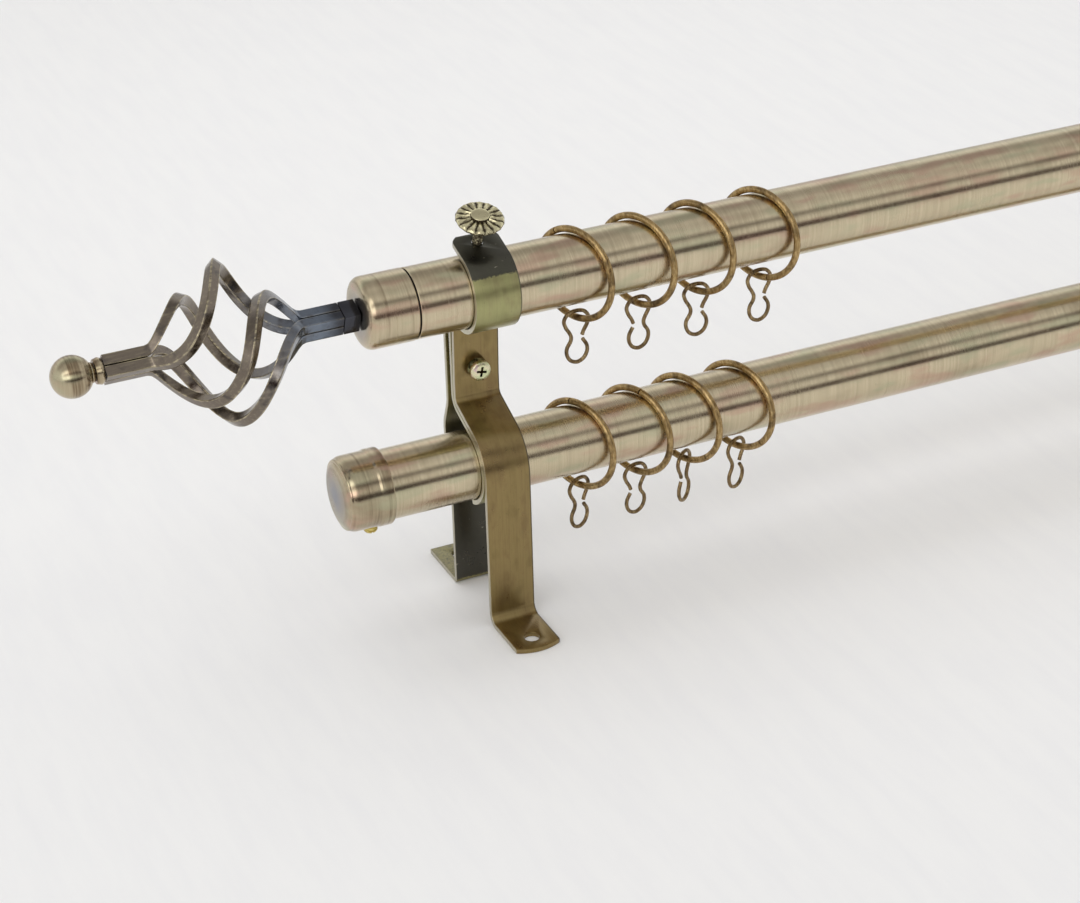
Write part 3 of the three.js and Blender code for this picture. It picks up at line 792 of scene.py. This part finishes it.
def makeHookStrap(side):
    x = away[side] * bracketX
    start, along = flangeLine()
    flangeEnd = start + along * strap["flangeLength"]
    corner = Vector((strap["hookBack"], strap["hookCornerHeight"]))
    under = Vector((strap["hookBack"], outerHeight - hug))
    bottom = onCircle(outerAxis, hug, 270)
    overInner = onCircle(innerAxis, hug, leaveAngle())
    line = [
        flangeEnd,
        *arc(outerAxis, hug, 90 + strap["flangeTilt"], 270),
        *bend(bottom, under, corner, strap["hookBend"], 8),
        *bend(under, corner, overInner, strap["offsetBend"] + stackStep, 8),
        *arc(innerAxis, hug, leaveAngle(), strap["wrapEnd"]),
    ]
    piece = stripPiece(side + "_hook_strap_strip", line, hookLacquer, x)
    hole = start + along * strap["flangeHoleAt"]
    tilt = math.radians(strap["flangeTilt"])
    place = Matrix.Translation((x, flangeEnd.x, flangeEnd.y)) @ Matrix.Rotation(tilt, 4, "X")
    half = strapWidth / 2
    cutCorner = [       # what a rounded corner of about 3 mm leaves outside it
        (half - 3.2, 0.5), (half + 1, 0.5), (half + 1, -3.4),
        (half, -3.4), (half - 0.6, -1.7), (half - 1.7, -0.55),
    ]
    tools = [
        drill(strap["screwHole"], strap["drillDepth"], (x, strap["hookBack"], screwHeight), (0, 1, 0)),
        drill(strap["screwHole"], strap["drillDepth"], (x, *hole), (0, -math.sin(tilt), math.cos(tilt))),
        outlineTool(cutCorner, -3, 3, place),
        outlineTool([(-a, b) for a, b in cutCorner], -3, 3, place),
    ]
    finishStrap(piece, tools, side + "_hook_strap")


def makeFrontStrap(side):
    x = away[side] * bracketX
    wide = hug + stackStep
    back = strap["hookBack"] - stackStep
    overInner = onCircle(innerAxis, wide, leaveAngle())
    hookCorner = Vector((strap["hookBack"], strap["hookCornerHeight"]))
    slope = (hookCorner - onCircle(innerAxis, hug, leaveAngle())).normalized()
    corner = overInner + slope * ((back - overInner.x) / slope.x)
    base = strap["thickness"] / 2
    top = Vector((back - 1.2, outerHeight - hug - base - strap["gap"] - 0.6))
    knee = Vector((back, strap["kneeHeight"]))
    ankle = Vector((-wide, base))
    toe = Vector((-strap["footReach"] - 1, base))
    line = [
        top,
        knee,
        *bend(knee, corner, overInner, strap["offsetBend"], 8),
        *arc(innerAxis, wide, leaveAngle(), 180),
        *bend(onCircle(innerAxis, wide, 180), ankle, toe, strap["footBend"], 10),
        toe,
    ]
    piece = stripPiece(side + "_front_strap_strip", line, frontLacquer, x)
    shoulder = strap["footReach"] - 2.6     # the foot's end is an arc between two shoulders
    half = strapWidth / 2
    bulge = 4 * (strap["footReach"] - shoulder)
    crown = []
    steps = 16
    for i in range(steps + 1):
        t = i / steps
        crown.append((x - half + strapWidth * t, -shoulder - bulge * t * (1 - t)))
    clear = half + 2
    beyond = [(x + clear, -shoulder), (x + clear, -60), (x - clear, -60), (x - clear, -shoulder)]
    tools = [
        drill(strap["headHole"], strap["drillDepth"], (x, back, screwHeight), (0, 1, 0)),
        drill(strap["footHole"], strap["drillDepth"], (x, -strap["footHoleReach"], 0), (0, 0, 1)),
        outlineTool(crown + beyond, -5, 10),
    ]
    finishStrap(piece, tools, side + "_front_strap")


def makeRearStrap(side):
    x = away[side] * bracketX
    up = strap["rearUpright"]
    belly = strap["rearBelly"]
    base = strap["thickness"] / 2
    corners = [     # place along Y, height, radius of the bend
        (up, strap["rearTop"], 0), (up, 84, 10), (belly, 73, 12), (belly, 56, 12),
        (up, 45, 10), (up, base, 1.6), (strap["footReach"], base, 0),
    ]
    spots = [Vector(c[:2]) for c in corners]
    line = [spots[0]]
    for i in range(1, len(spots) - 1):
        line += bend(spots[i - 1], spots[i], spots[i + 1], corners[i][2], 6)
    line.append(spots[-1])
    piece = stripPiece(side + "_rear_strap_strip", line, rearLacquer, x)
    tools = [
        drill(strap["screwHole"], strap["drillDepth"], (x, up, screwHeight), (0, 1, 0)),
        drill(strap["footHole"], strap["drillDepth"], (x, strap["footHoleReach"], 0), (0, 0, 1)),
    ]
    finishStrap(piece, tools, side + "_rear_strap")


for side in sides:
    makeHookStrap(side)
    makeFrontStrap(side)
    makeRearStrap(side)
print("bracket straps made")


screw = {
    "headRadius": 4.2,
    "headThickness": 2.4,
    "shank": 1.95,
    "pitch": 0.7,
    "threadDepth": 0.28,
    "leadIn": 0.8,          # over this length the thread rises from nothing
    "nutAcross": 7.0,
    "nutThickness": 3.2,
}


# A threaded rod about +X: the radius rises and falls once a pitch, and its start turns with the angle
def threadedRod(name, radius, start, end, material, place, segments=28, perPitch=6):
    rows = math.ceil((end - start) / screw["pitch"] * perPitch)
    root = radius - screw["threadDepth"]
    points = [Vector((start, 0, 0))]
    faces = []
    for row in range(rows + 1):
        along = start + (end - start) * row / rows
        ease = max(0.0, min(1.0, (along - start) / screw["leadIn"], (end - along) / screw["leadIn"]))
        for k in range(segments):
            turn = (along / screw["pitch"] - k / segments) % 1.0
            reach = root + screw["threadDepth"] * abs(2 * turn - 1) * ease
            angle = 2 * math.pi * k / segments
            points.append(Vector((along, reach * math.cos(angle), reach * math.sin(angle))))
        for k in range(segments):
            n = (k + 1) % segments
            base = 1 + (row - 1) * segments
            if row:
                faces.append([base + k, base + n, base + segments + n, base + segments + k])
            else:
                faces.append([0, 1 + n, 1 + k])
    points.append(Vector((end, 0, 0)))
    last = 1 + rows * segments
    faces += [[last + k, last + (k + 1) % segments, len(points) - 1] for k in range(segments)]
    return newPiece(name, [place @ p for p in points], faces, material, 60)


# One object out of several, so that a screw's head and thread stay one piece
def joined(first, *others):
    for other in others:
        work = bmesh.new()
        work.from_mesh(first.data)
        work.from_mesh(other.data)
        work.to_mesh(first.data)
        work.free()
        bpy.data.objects.remove(other)
    return first


def makeCrossScrew(side):
    x = away[side] * bracketX
    low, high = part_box(side + "_cross_screw")
    front = low.y / mm
    place = Matrix.Translation((x, front, screwHeight)) @ Matrix.Rotation(math.pi / 2, 4, "Z")
    r = screw["headRadius"]
    t = screw["headThickness"]
    profile = roundedProfile([
        (0, 0.04, 0), (r * 0.66, 0.07, 0.8), (r * 0.92, 0.4, 0.7), (r - 0.02, 1.0, 0.5), (r - 0.02, t, 0.2),
        (screw["shank"] - 0.3, t, 0), (screw["shank"] - 0.3, t + 1, 0), (0, t + 1, 0),
    ])
    head = turned(side + "_cross_screw_turned", profile, zinc, 48, place)
    down = Matrix.Translation((x, front, screwHeight)) @ Matrix.Rotation(-math.pi / 2, 4, "X")
    recess = down @ Matrix.Rotation(math.radians(12), 4, "Z")
    cutAway(head, [outlineTool(oblong(*blade), -1, 1.9, recess) for blade in ((2.1, 0.5), (0.5, 2.1))])
    head = settle(head, 40)

    # Where painted shade darkens the head: inside its cross recess.
    def recessShade(point):
        level = 0.35 < point.y - front < 2.1
        return 1.0 if level and abs(point.z - screwHeight) < 2.5 and abs(point.x - x) < 2.5 else 0.0

    setHeights(head, recessShade, "recess")
    rod = threadedRod("thread", screw["shank"], t + 0.6, high.y / mm - front, zinc, place)
    joined(head, rod)
    finished(head, "brackets", "yellow_zinc", side + "_cross_screw")


def makeNut(side):
    centre = middle(side + "_cross_nut")
    place = Matrix.Translation(centre) @ Matrix.Rotation(math.pi / 2, 4, "Z")
    half = screw["nutThickness"] / 2
    corner = screw["nutAcross"] / 2 / math.cos(math.pi / 6)
    chamfer = [
        (0, -half), (3.2, -half), (corner, -half + 0.5), (corner, half - 0.5), (3.2, half), (0, half),
    ]
    nut = turned(side + "_cross_nut_hex", chamfer, zinc, 48, place)
    sixth = math.pi / 3
    flats = [(corner * math.cos(sixth * k), corner * math.sin(sixth * k)) for k in range(6)]
    hexTool = outlineTool(flats, -4, 4, Matrix.Translation(centre) @ Matrix.Rotation(math.pi / 2, 4, "X"))
    cutAway(nut, [hexTool], "INTERSECT")
    cutAway(nut, [drill(screw["shank"] + 0.2, 8, centre, (0, 1, 0))])
    soften(nut, 0.12)
    finished(nut, "brackets", "yellow_zinc", side + "_cross_nut")


for side in sides:
    makeCrossScrew(side)
    makeNut(side)
print("cross screws made")


knob = {
    "petals": 16,
    "radius": 9.3,
    "petalStart": 3.3,
    "bottom": 9.9,
    "discBottom": 11.2,
    "discTop": 14.0,
    "crestFall": 0.75,      # how far a petal's ridge sinks towards the rim
    "grooveDepth": 1.0,
    "rimShare": 0.12,       # the last part of a petal, which rounds down
    "rimFall": 0.9,
    "buttonRadius": 3.4,
    "top": 15.2,
    "shankFoot": -2.6,
}


# One petal, pointing along +X from the button: a ridge between two grooves that run out at the rim
def petalPiece(material):
    length = knob["radius"] - knob["petalStart"]
    rows, columns = 14, 10
    points = []
    high = []
    faces = []
    for i in range(rows + 1):
        t = i / rows
        half = (knob["petalStart"] + length * t) * math.tan(math.pi / knob["petals"])
        rim = math.sqrt(1 - max(0.0, (t - 1) / knob["rimShare"] + 1) ** 2)
        crest = knob["discTop"] - 0.15 - knob["crestFall"] * t - knob["rimFall"] * (1 - rim)
        groove = knob["grooveDepth"] * (1 - 0.6 * t)
        for j in range(columns + 1):
            s = 2 * j / columns - 1
            points.append((length * t, half * s, crest - groove * abs(s) ** 0.85))
            high.append((1 - abs(s)) ** 0.7 * (0.75 + 0.25 * t) + 0.35 * max(0.0, t - 0.8) / 0.2)
    bottomStart = len(points)
    for i in range(rows + 1):
        for j in (0, columns):
            x, y, z = points[i * (columns + 1) + j]
            points.append((x, y, knob["discBottom"] + knob["rimFall"] * (i == rows)))
            high.append(0.4)
    for i in range(rows):
        a = i * (columns + 1)
        b = a + columns + 1
        faces += [[a + j, b + j, b + j + 1, a + j + 1] for j in range(columns)]
        low = bottomStart + 2 * i
        faces.append([low, low + 1, low + 3, low + 2])
        faces.append([a, low, low + 2, b])
        faces.append([a + columns, b + columns, low + 3, low + 1])
    endRow = rows * (columns + 1)
    endLow = bottomStart + 2 * rows
    faces.append([*range(columns, -1, -1), bottomStart, bottomStart + 1])
    faces.append([*range(endRow, endRow + columns + 1), endLow + 1, endLow])
    piece = newPiece("petal", points, faces, material, 50)
    layer = piece.data.attributes.new("high", "FLOAT", "POINT")
    layer.data.foreach_set("value", high)
    return piece


# Where the thumbscrew crosses the flange, and how far it leans
def thumbPlace(side):
    start, along = flangeLine()
    hole = start + along * strap["flangeHoleAt"]
    tilt = math.radians(strap["flangeTilt"])
    return Vector((away[side] * bracketX, hole.x, hole.y)), tilt


def makeKnob(side, body):
    centre, tilt = thumbPlace(side)
    lean = Matrix.Translation(centre) @ Matrix.Rotation(tilt, 4, "X")
    stand = lean @ Matrix.Rotation(-math.pi / 2, 4, "Y")
    petals = growPiece(petalPiece(antiqueCast), petalTree, {
        "Petals": knob["petals"], "Inner Radius": knob["petalStart"] * mm, "Lean": tilt,
        "Place": centre * mm, "Material": antiqueCast,
    }, 50)
    b = knob["buttonRadius"]
    core = [
        (0, knob["bottom"], 0), (3.0, knob["bottom"], 0.4), (3.2, knob["discBottom"] - 0.2, 0.2),
        (knob["radius"] - 1.5, knob["discBottom"], 0.3), (knob["radius"] - 1.2, knob["discTop"] - 1.5, 0.3),
        (b + 0.5, knob["discTop"] - 1.4, 0.2), (b + 0.2, knob["discTop"] + 0.3, 0.4),
        (b - 0.5, knob["top"] - 0.75, 0.6), (0, knob["top"] - 0.4, 0),
    ]
    middlePiece = turned("core", roundedProfile(core), antiqueCast, 48, stand)
    inward = stand.inverted()

    def heightOf(point):
        local = inward @ point
        if math.hypot(local.y, local.z) < b + 0.2:
            return 0.15 + 0.85 * min(1.0, max(0.0, (local.x - knob["discTop"] + 0.4) / 0.9))
        return 0.08

    setHeights(middlePiece, heightOf)
    whole = joined(petals, middlePiece)
    whole.name = side + "_thumbscrew_knob_cast"
    finished(whole, body, "knob_brass", side + "_thumbscrew_knob")
    return stand


def makeShank(side, stand, body):
    end = knob["bottom"] - strap["gap"]
    rod = threadedRod(side + "_thumbscrew_shank_thread", 1.98, knob["shankFoot"], end, antiqueCast, stand)
    # Painted shade: a low 'high' value all over keeps the shank dark, for the shadow under the knob.
    setHeights(rod, lambda p: 0.3)
    finished(rod, body, "knob_brass", side + "_thumbscrew_shank")


# The body that carries a CAD node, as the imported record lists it
def bodyOf(node):
    for name, nodes in frame["record"]["behaviour"]["bodies"].items():
        if node in nodes:
            return name
    return "root"


for side in sides:
    stand = makeKnob(side, bodyOf(side + "_thumbscrew_knob"))
    makeShank(side, stand, bodyOf(side + "_thumbscrew_shank"))
print("thumbscrews made")


finial = {
    "spigotRadius": 12.85,
    "spigotLength": 18,     # how far it reaches into the pole
    "capLength": 20.8,
    "blockEnd": 27.5,
    "block": 8.9,
    "barSize": 4.3,
    "barCorner": 0.36,
    "barEnd": 119.5,
    "collarEnd": 122.8,
    "ballCentre": 131.1,
    "ballRadius": 8.0,
    "gap": 0.3,
}
cage = {
    "start": 43.9,
    "end": 101.8,
    "radius": 29.7,
    "turn": -204,
    "middleAngle": 12.3,
    "lag": -0.33,
    "flare": 1.3,
}


# Angle about the axis and distance from it: a bundle, a twisted belly, a bundle
def cagePlace(x, index):
    t = min(1.0, max(0.0, (x - cage["start"]) / (cage["end"] - cage["start"])))
    twist = t - 0.5 + cage["lag"] * math.sin(2 * math.pi * t) / (2 * math.pi)
    bundle = (finial["barSize"] + finial["gap"]) / math.sqrt(2)
    belly = 1 - abs(2 * t - 1) ** cage["flare"]
    angle = math.radians(cage["middleAngle"] + 90 * index + cage["turn"] * twist)
    return angle, bundle + (cage["radius"] - bundle) * belly


def cagePoint(x, index):
    angle, distance = cagePlace(x, index)
    return Vector((x, distance * math.cos(angle), distance * math.sin(angle)))


def makeBar(side, letter, index, place):
    first = finial["blockEnd"] + finial["gap"]
    last = finial["barEnd"]
    bendSpan = 2.2          # the forged bends at the ends of the cage are eased over this length
    steps = 150
    cageLength = cage["end"] - cage["start"] + 2 * bendSpan
    stations = [first, 36.0]
    stations += [cage["start"] - bendSpan + cageLength * i / steps for i in range(steps + 1)]
    stations += [110.0, last]
    points = []
    facing = []
    turnOnly = place.to_3x3()
    reach = bendSpan * 0.7
    for x in stations:
        eased = (cagePoint(x - reach, index) + cagePoint(x, index) * 2 + cagePoint(x + reach, index)) / 4
        point = eased if cage["start"] - 6 < x < cage["end"] + 6 else cagePoint(x, index)
        angle, distance = cagePlace(x, index)
        points.append(place @ point)
        facing.append(turnOnly @ Vector((0, math.cos(angle), math.sin(angle))))
    path = pathPiece(f"{side}_finial_bar_{letter}_forged", points, darkBar)
    layer = path.data.attributes.new("facing", "FLOAT_VECTOR", "POINT")
    layer.data.foreach_set("vector", [c for v in facing for c in v])
    bar = growPiece(path, barTree, {
        "Size": finial["barSize"] * mm, "Corner": finial["barCorner"] * mm, "Material": darkBar,
    }, 30)
    finished(bar, side + "_finial", "dark_bar", f"{side}_finial_bar_{letter}")


# Stands a piece drawn along +X at one end, with its far end pointing outwards
def atEnd(side, x, height):
    turn = Matrix.Rotation(math.pi if side == "left" else 0, 4, "Z")
    return Matrix.Translation((away[side] * x, 0, height)) @ turn


# How strong the bloom is on an end face at this X: full in the middle, gone at the rim
def bloomOn(faceX, height):
    def bloom(point):
        far = math.hypot(point.y, point.z - height) / (poleRadius - 1)
        depth = faceX - abs(point.x)
        return max(0.0, 1 - far) if depth < 2.5 else 0.0

    return bloom


def makeFinial(side):
    place = atEnd(side, poleEndX, outerHeight)
    body = side + "_finial"
    gap = finial["gap"]
    outer = poleRadius + 0.18
    seam = 0.75             # the dark line where the cap meets the pole
    capEnd = finial["capLength"] - 0.04

    wide = finial["spigotRadius"]
    depth = finial["spigotLength"]
    spigot = turned(side + "_finial_spigot_plug", roundedProfile([
        (0, -depth, 0), (wide - 0.65, -depth, 0.8), (wide, 1.4 - depth, 0.5),
        (wide, 10.2, 0.2), (0, 10.2, 0),
    ]), plugPlastic, 72, place)
    finished(spigot, body, "black_plastic", side + "_finial_spigot")

    cap = turned(side + "_finial_cap_turned", roundedProfile([
        (0, 10.5, 0), (13.2, 10.5, 0.3), (13.2, seam, 0),
        (outer - 0.3, seam, 0.1), (outer, seam + 0.4, 0.3),
        (outer, finial["capLength"] - 0.6, 3.6), (outer - 4.6, capEnd, 1.2),
        (6.0, capEnd, 0), (0, capEnd, 0),
    ], 8), capBrass, 128, place)
    addAlongMap(cap)
    setHeights(cap, bloomOn(poleEndX + finial["capLength"], outerHeight), "face")
    finished(cap, body, "pole_brass", side + "_finial_cap")

    collar = turned(side + "_finial_collar_turned", roundedProfile([
        (0, finial["barEnd"] + gap, 0), (4.6, finial["barEnd"] + gap, 0.3),
        (5.15, finial["barEnd"] + 1.3, 0.6),
        (4.6, finial["collarEnd"], 0.4), (0, finial["collarEnd"], 0),
    ]), agedBrass, 64, place)
    addAlongMap(collar)
    finished(collar, body, "pole_brass", side + "_finial_collar")

    start = finial["collarEnd"] + gap
    radius = finial["ballRadius"]
    centre = finial["ballCentre"]
    neck = 3.55
    begin = math.acos(-(centre - start - 1.1) / radius)
    steps = 24
    profile = [(0, start), (neck, start)]
    for i in range(steps + 1):
        angle = begin * (1 - i / steps)
        profile.append((max(radius * math.sin(angle) - 0.005, 0), centre + radius * math.cos(angle) - 0.01))
    ball = turned(side + "_finial_ball_turned", profile, agedBrass, 64, place)
    addAlongMap(ball)
    finished(ball, body, "pole_brass", side + "_finial_ball")

    half = finial["block"] / 2
    low = finial["capLength"] + gap
    high = finial["blockEnd"]
    spin = math.radians(cage["middleAngle"] - cage["turn"] / 2 + 45)
    corners = []
    for along in (low, high):
        for a, b in ((-1, -1), (1, -1), (1, 1), (-1, 1)):
            spot = Matrix.Rotation(spin, 4, "X") @ Vector((along, a * half, b * half))
            corners.append(place @ spot)
    faces = [[0, 1, 2, 3], [7, 6, 5, 4]] + [[k, (k + 1) % 4, 4 + (k + 1) % 4, 4 + k] for k in range(4)]
    block = newPiece(side + "_finial_block_forged", corners, faces, darkBar)
    soften(block, 0.3, 2)
    setHeights(block, lambda p: 0.1, "corner")
    finished(block, body, "dark_bar", side + "_finial_block")

    for index, letter in enumerate("abcd"):
        makeBar(side, letter, index, place)


for side in sides:
    makeFinial(side)
print("finials made")


endCap = {
    "radius": 15.5,
    "bore": 14.3,
    "length": 19.6,
    "floor": 17.9,
    "screwAt": 5.9,
    "screwHole": 1.8,
    "setback": 45.6,        # from the bracket's middle to the cap's open end
}


def makeEndCap(side):
    place = atEnd(side, bracketX + endCap["setback"], innerHeight)
    r = endCap["radius"] - 0.01
    length = endCap["length"] - 0.02
    cup = turned(side + "_end_cap_pressed", roundedProfile([
        (0, endCap["floor"], 0), (endCap["bore"], endCap["floor"], 1.0), (endCap["bore"], 0, 0),
        (r - 0.25, 0, 0.1), (r, 0.4, 0.3), (r, 4.6, 0.6), (r - 0.35, 5.6, 0.6),
        (r - 0.35, length - 1.9, 5.0), (10.0, length - 0.36, 7.0), (6.5, length - 0.13, 0),
        (3.2, length - 0.03, 0), (0, length, 0),
    ], 10), ringedBrass, 128, place)
    hole = place @ Vector((endCap["screwAt"], 0, -endCap["radius"]))
    cutAway(cup, [drill(endCap["screwHole"], 6, hole, (0, 0, 1))])
    settle(cup, 32)
    addAlongMap(cup)
    setHeights(cup, bloomOn(bracketX + endCap["setback"] + length, innerHeight), "face")
    finished(cup, side + "_end_cap", "pole_brass", side + "_end_cap")

    stand = place @ Matrix.Translation((endCap["screwAt"], 0, 0)) @ Matrix.Rotation(math.pi / 2, 4, "Y")
    head = turned(side + "_end_cap_screw_turned", roundedProfile([
        (0, 15.8, 0), (2.85, 15.8, 0.2), (2.85, 18.0, 0.3), (2.3, 18.9, 0.5), (0, 19.08, 0),
    ]), brightBrass, 40, stand)
    below = stand @ Matrix.Rotation(math.pi / 2, 4, "Y")
    cutAway(head, [outlineTool(oblong(*slot), 18.1, 20, below) for slot in ((0.4, 3.5), (3.5, 0.4))])
    settle(head, 40)
    rod = threadedRod("thread", 1.5, endCap["bore"] + 0.05, 16.4, brightBrass, stand, 20)
    joined(head, rod)
    finished(head, side + "_end_cap", "knob_brass", side + "_end_cap_screw")


for side in sides:
    makeEndCap(side)
print("end caps made")


ring = {"radius": 18.5, "wire": 1.4, "slit": 0.5, "turn": 24}
clip = {
    "wire": 0.8,
    "waist": [(0, 2.7), (3.4, 1.9), (5.3, -0.8), (4.7, -3.6), (3.1, -6.4), (2.4, -8.2)],
    "eye": [(2.6, -10), (4.3, -13), (4.4, -15.6), (2.9, -18.4), (0, -19.6)],
    "stepsPerSpan": 8,
}
# For each ring: its slit's place in degrees, its clip's turn, and the side on which the clip opens
ringRows = {
    "outer": [(60, 0, 1), (40, 4, -1), (300, -4, 1), (255, 2, 1)],
    "inner": [(80, 20, 1), (100, 10, -1), (228, 36, -1), (224, 24, 1)],
}


# A centripetal Catmull-Rom curve through the points, as spring wire bends between its corners
def smoothLine(points, steps):
    spots = [Vector(p) for p in points]
    spots = [spots[0] * 2 - spots[1], *spots, spots[-1] * 2 - spots[-2]]
    line = []
    for i in range(1, len(spots) - 2):
        p0, p1, p2, p3 = spots[i - 1:i + 3]
        t1 = (p1 - p0).length ** 0.5
        t2 = t1 + (p2 - p1).length ** 0.5
        t3 = t2 + (p3 - p2).length ** 0.5
        for k in range(steps):
            t = t1 + (t2 - t1) * k / steps
            a1 = p0.lerp(p1, t / t1)
            a2 = p1.lerp(p2, (t - t1) / (t2 - t1))
            a3 = p2.lerp(p3, (t - t2) / (t3 - t2))
            line.append(a1.lerp(a2, t / t2).lerp(a2.lerp(a3, (t - t1) / (t3 - t1)), (t - t1) / (t2 - t1)))
    line.append(spots[-2])
    return line


def makeRing(row, number, slitAngle):
    name = f"{row}_ring_{number}"
    holder = pathPiece(name + "_wire", [(0, 0, 0), (0, 0, 1)], ringBronze)     # its tree draws the ring
    piece = growPiece(holder, ringTree, {
        "Ring Radius": ring["radius"] * mm, "Wire Radius": (ring["wire"] - 0.01) * mm,
        "Slit": ring["slit"] / ring["radius"], "Slit Angle": math.radians(slitAngle),
        "Turn": math.radians(ring["turn"]), "Place": middle(name) * mm, "Material": ringBronze,
    })
    finished(piece, name, "ring_bronze", name)


def makeClip(row, number, turn, hand):
    name = f"{row}_clip_{number}"
    ringMiddle = middle(f"{row}_ring_{number}")
    hang = Matrix.Translation(ringMiddle - Vector((0, 0, ring["radius"])))
    place = hang @ Matrix.Rotation(math.radians(turn), 4, "Z")
    outline = [(hand * a, 0, b) for a, b in clip["eye"]]
    outline += [(-hand * a, 0, b) for a, b in reversed(clip["eye"][:-1])]
    outline += [(-hand * a, 0, b) for a, b in reversed(clip["waist"][1:])]
    outline += [(hand * a, 0, b) for a, b in clip["waist"]]
    line = [place @ p for p in smoothLine(outline, clip["stepsPerSpan"])]
    holder = pathPiece(name + "_wire", line, clipBronze)
    piece = growPiece(holder, wireTree, {"Wire Radius": clip["wire"] * mm, "Material": clipBronze})
    finished(piece, name, "clip_bronze", name)


for row, entries in ringRows.items():
    for number, (slitAngle, turn, hand) in enumerate(entries, 1):
        makeRing(row, number, slitAngle)
        makeClip(row, number, turn, hand)
print("rings and clips made")


room = {
    "floor": 12000,
    "key": {"at": (-700, 500, 1500), "size": 1500, "power": 3.2, "spread": 120},
    "fill": {"at": (900, -300, 1300), "size": 2200, "power": 3.4, "spread": 140},
}


def makeFloor():
    half = room["floor"] / 2
    floor = newPiece("floor", [(-half, -half, 0), (half, -half, 0), (half, half, 0), (-half, half, 0)],
                     [[0, 1, 2, 3]], whiteBoard("painted_board"))
    if floor.data.polygons[0].normal.z < 0:
        floor.data.flip_normals()


def makeLight(name, look):
    data = bpy.data.lights.new(name, "AREA")
    data.shape = "DISK"
    data.size = look["size"] * mm
    data.energy = look["power"]
    data.spread = math.radians(look["spread"])
    lamp = bpy.data.objects.new(name, data)
    bpy.context.collection.objects.link(lamp)
    lamp.location = Vector(look["at"]) * mm
    lamp.visible_glossy = False     # the metal mirrors the studio walls, not the lamps
    aim = Vector((-300, 0, 80)) * mm - lamp.location
    lamp.rotation_euler = aim.to_track_quat("-Z", "Y").to_euler()


# The studio round the object, read by its angle over the poles: pale wall behind, softer ceiling,
# a dim room in front, so that the poles carry dark bands between bright ones, and pale ends
skyBands = [        # degrees from straight up towards the front, and how bright it is there
    (-90, 0.5), (-58, 1.0), (-38, 0.38), (-20, 0.44), (-4, 0.64), (10, 0.56), (24, 0.66),
    (35, 0.78), (47, 0.13), (59, 0.68), (70, 0.8), (80, 0.06), (90, 0.03),
]


# A soft box up and to the left of the camera, which the balls, caps and bars catch
softBox = {
    "toward": (-0.56, -0.65, 0.51),
    "core": math.radians(14),
    "edge": math.radians(34),
    "strength": 2.2,
}


def makeSky():
    world = bpy.data.worlds.new("studio")
    bpy.context.scene.world = world
    world.use_nodes = True
    tree = world.node_tree
    tree.nodes.clear()
    look = addNode(tree, "ShaderNodeTexCoord").outputs["Generated"]
    apart = addNode(tree, "ShaderNodeSeparateXYZ", {0: look})
    front = sums(tree, "MULTIPLY", apart.outputs["Y"], -1.0)
    angle = sums(tree, "ARCTAN2", front, apart.outputs["Z"])
    turn = addNode(tree, "ShaderNodeMapRange", {
        "Value": angle, "From Min": math.radians(-90), "From Max": math.radians(90),
    }).outputs["Result"]
    ramp = addNode(tree, "ShaderNodeValToRGB", {"Fac": turn})
    stops = ramp.color_ramp.elements
    for i, (degrees, level) in enumerate(skyBands):
        place = (degrees + 90) / 180
        stop = stops[i] if i < 2 else stops.new(place)
        stop.position = place
        stop.color = (level * 0.975 + 0.022, level, level * 0.985, 1)      # the darker walls are warm
    sideways = sums(tree, "ABSOLUTE", apart.outputs["X"])
    walls = blendColours(tree, stretch(tree, sideways, 0.66, 0.9), ramp.outputs["Color"], "#EDEDED")
    toward = addNode(tree, "ShaderNodeVectorMath", {0: look, 1: softBox["toward"]}, operation="DOT_PRODUCT")
    inside = stretch(tree, toward.outputs["Value"], math.cos(softBox["edge"]), math.cos(softBox["core"]))
    strength = sums(tree, "ADD", 1.0, sums(tree, "MULTIPLY", inside, softBox["strength"]))
    light = addNode(tree, "ShaderNodeBackground", {"Color": walls, "Strength": strength})
    addNode(tree, "ShaderNodeOutputWorld", {"Surface": light.outputs[0]})


camera = {
    "at": (-826.3, -852.66, 568.58),
    "azimuth": -23.96,
    "elevation": 28.49,
    "roll": -1.71,
    "lens": 88.76,
    "sensor": 36,
}


def makeCamera():
    a, e, roll = (math.radians(camera[k]) for k in ("azimuth", "elevation", "roll"))
    back = Vector((math.sin(a) * math.cos(e), -math.cos(a) * math.cos(e), math.sin(e)))
    right = (-back).cross(Vector((0, 0, 1))).normalized()
    up = right.cross(-back)
    tiltedRight = right * math.cos(roll) + up * math.sin(roll)
    tiltedUp = up * math.cos(roll) - right * math.sin(roll)
    data = bpy.data.cameras.new("camera")
    data.lens = camera["lens"]
    data.sensor_width = camera["sensor"]
    data.clip_start, data.clip_end = 0.05, 50
    eye = bpy.data.objects.new("camera", data)
    bpy.context.collection.objects.link(eye)
    turn = Matrix((tiltedRight, tiltedUp, back)).transposed().to_4x4()
    eye.matrix_world = Matrix.Translation(Vector(camera["at"]) * mm) @ turn
    bpy.context.scene.camera = eye


makeFloor()
makeLight("key", room["key"])
makeLight("fill", room["fill"])
makeSky()
makeCamera()
bpy.context.scene.view_settings.view_transform = "Standard"
print("floor, light and camera made")
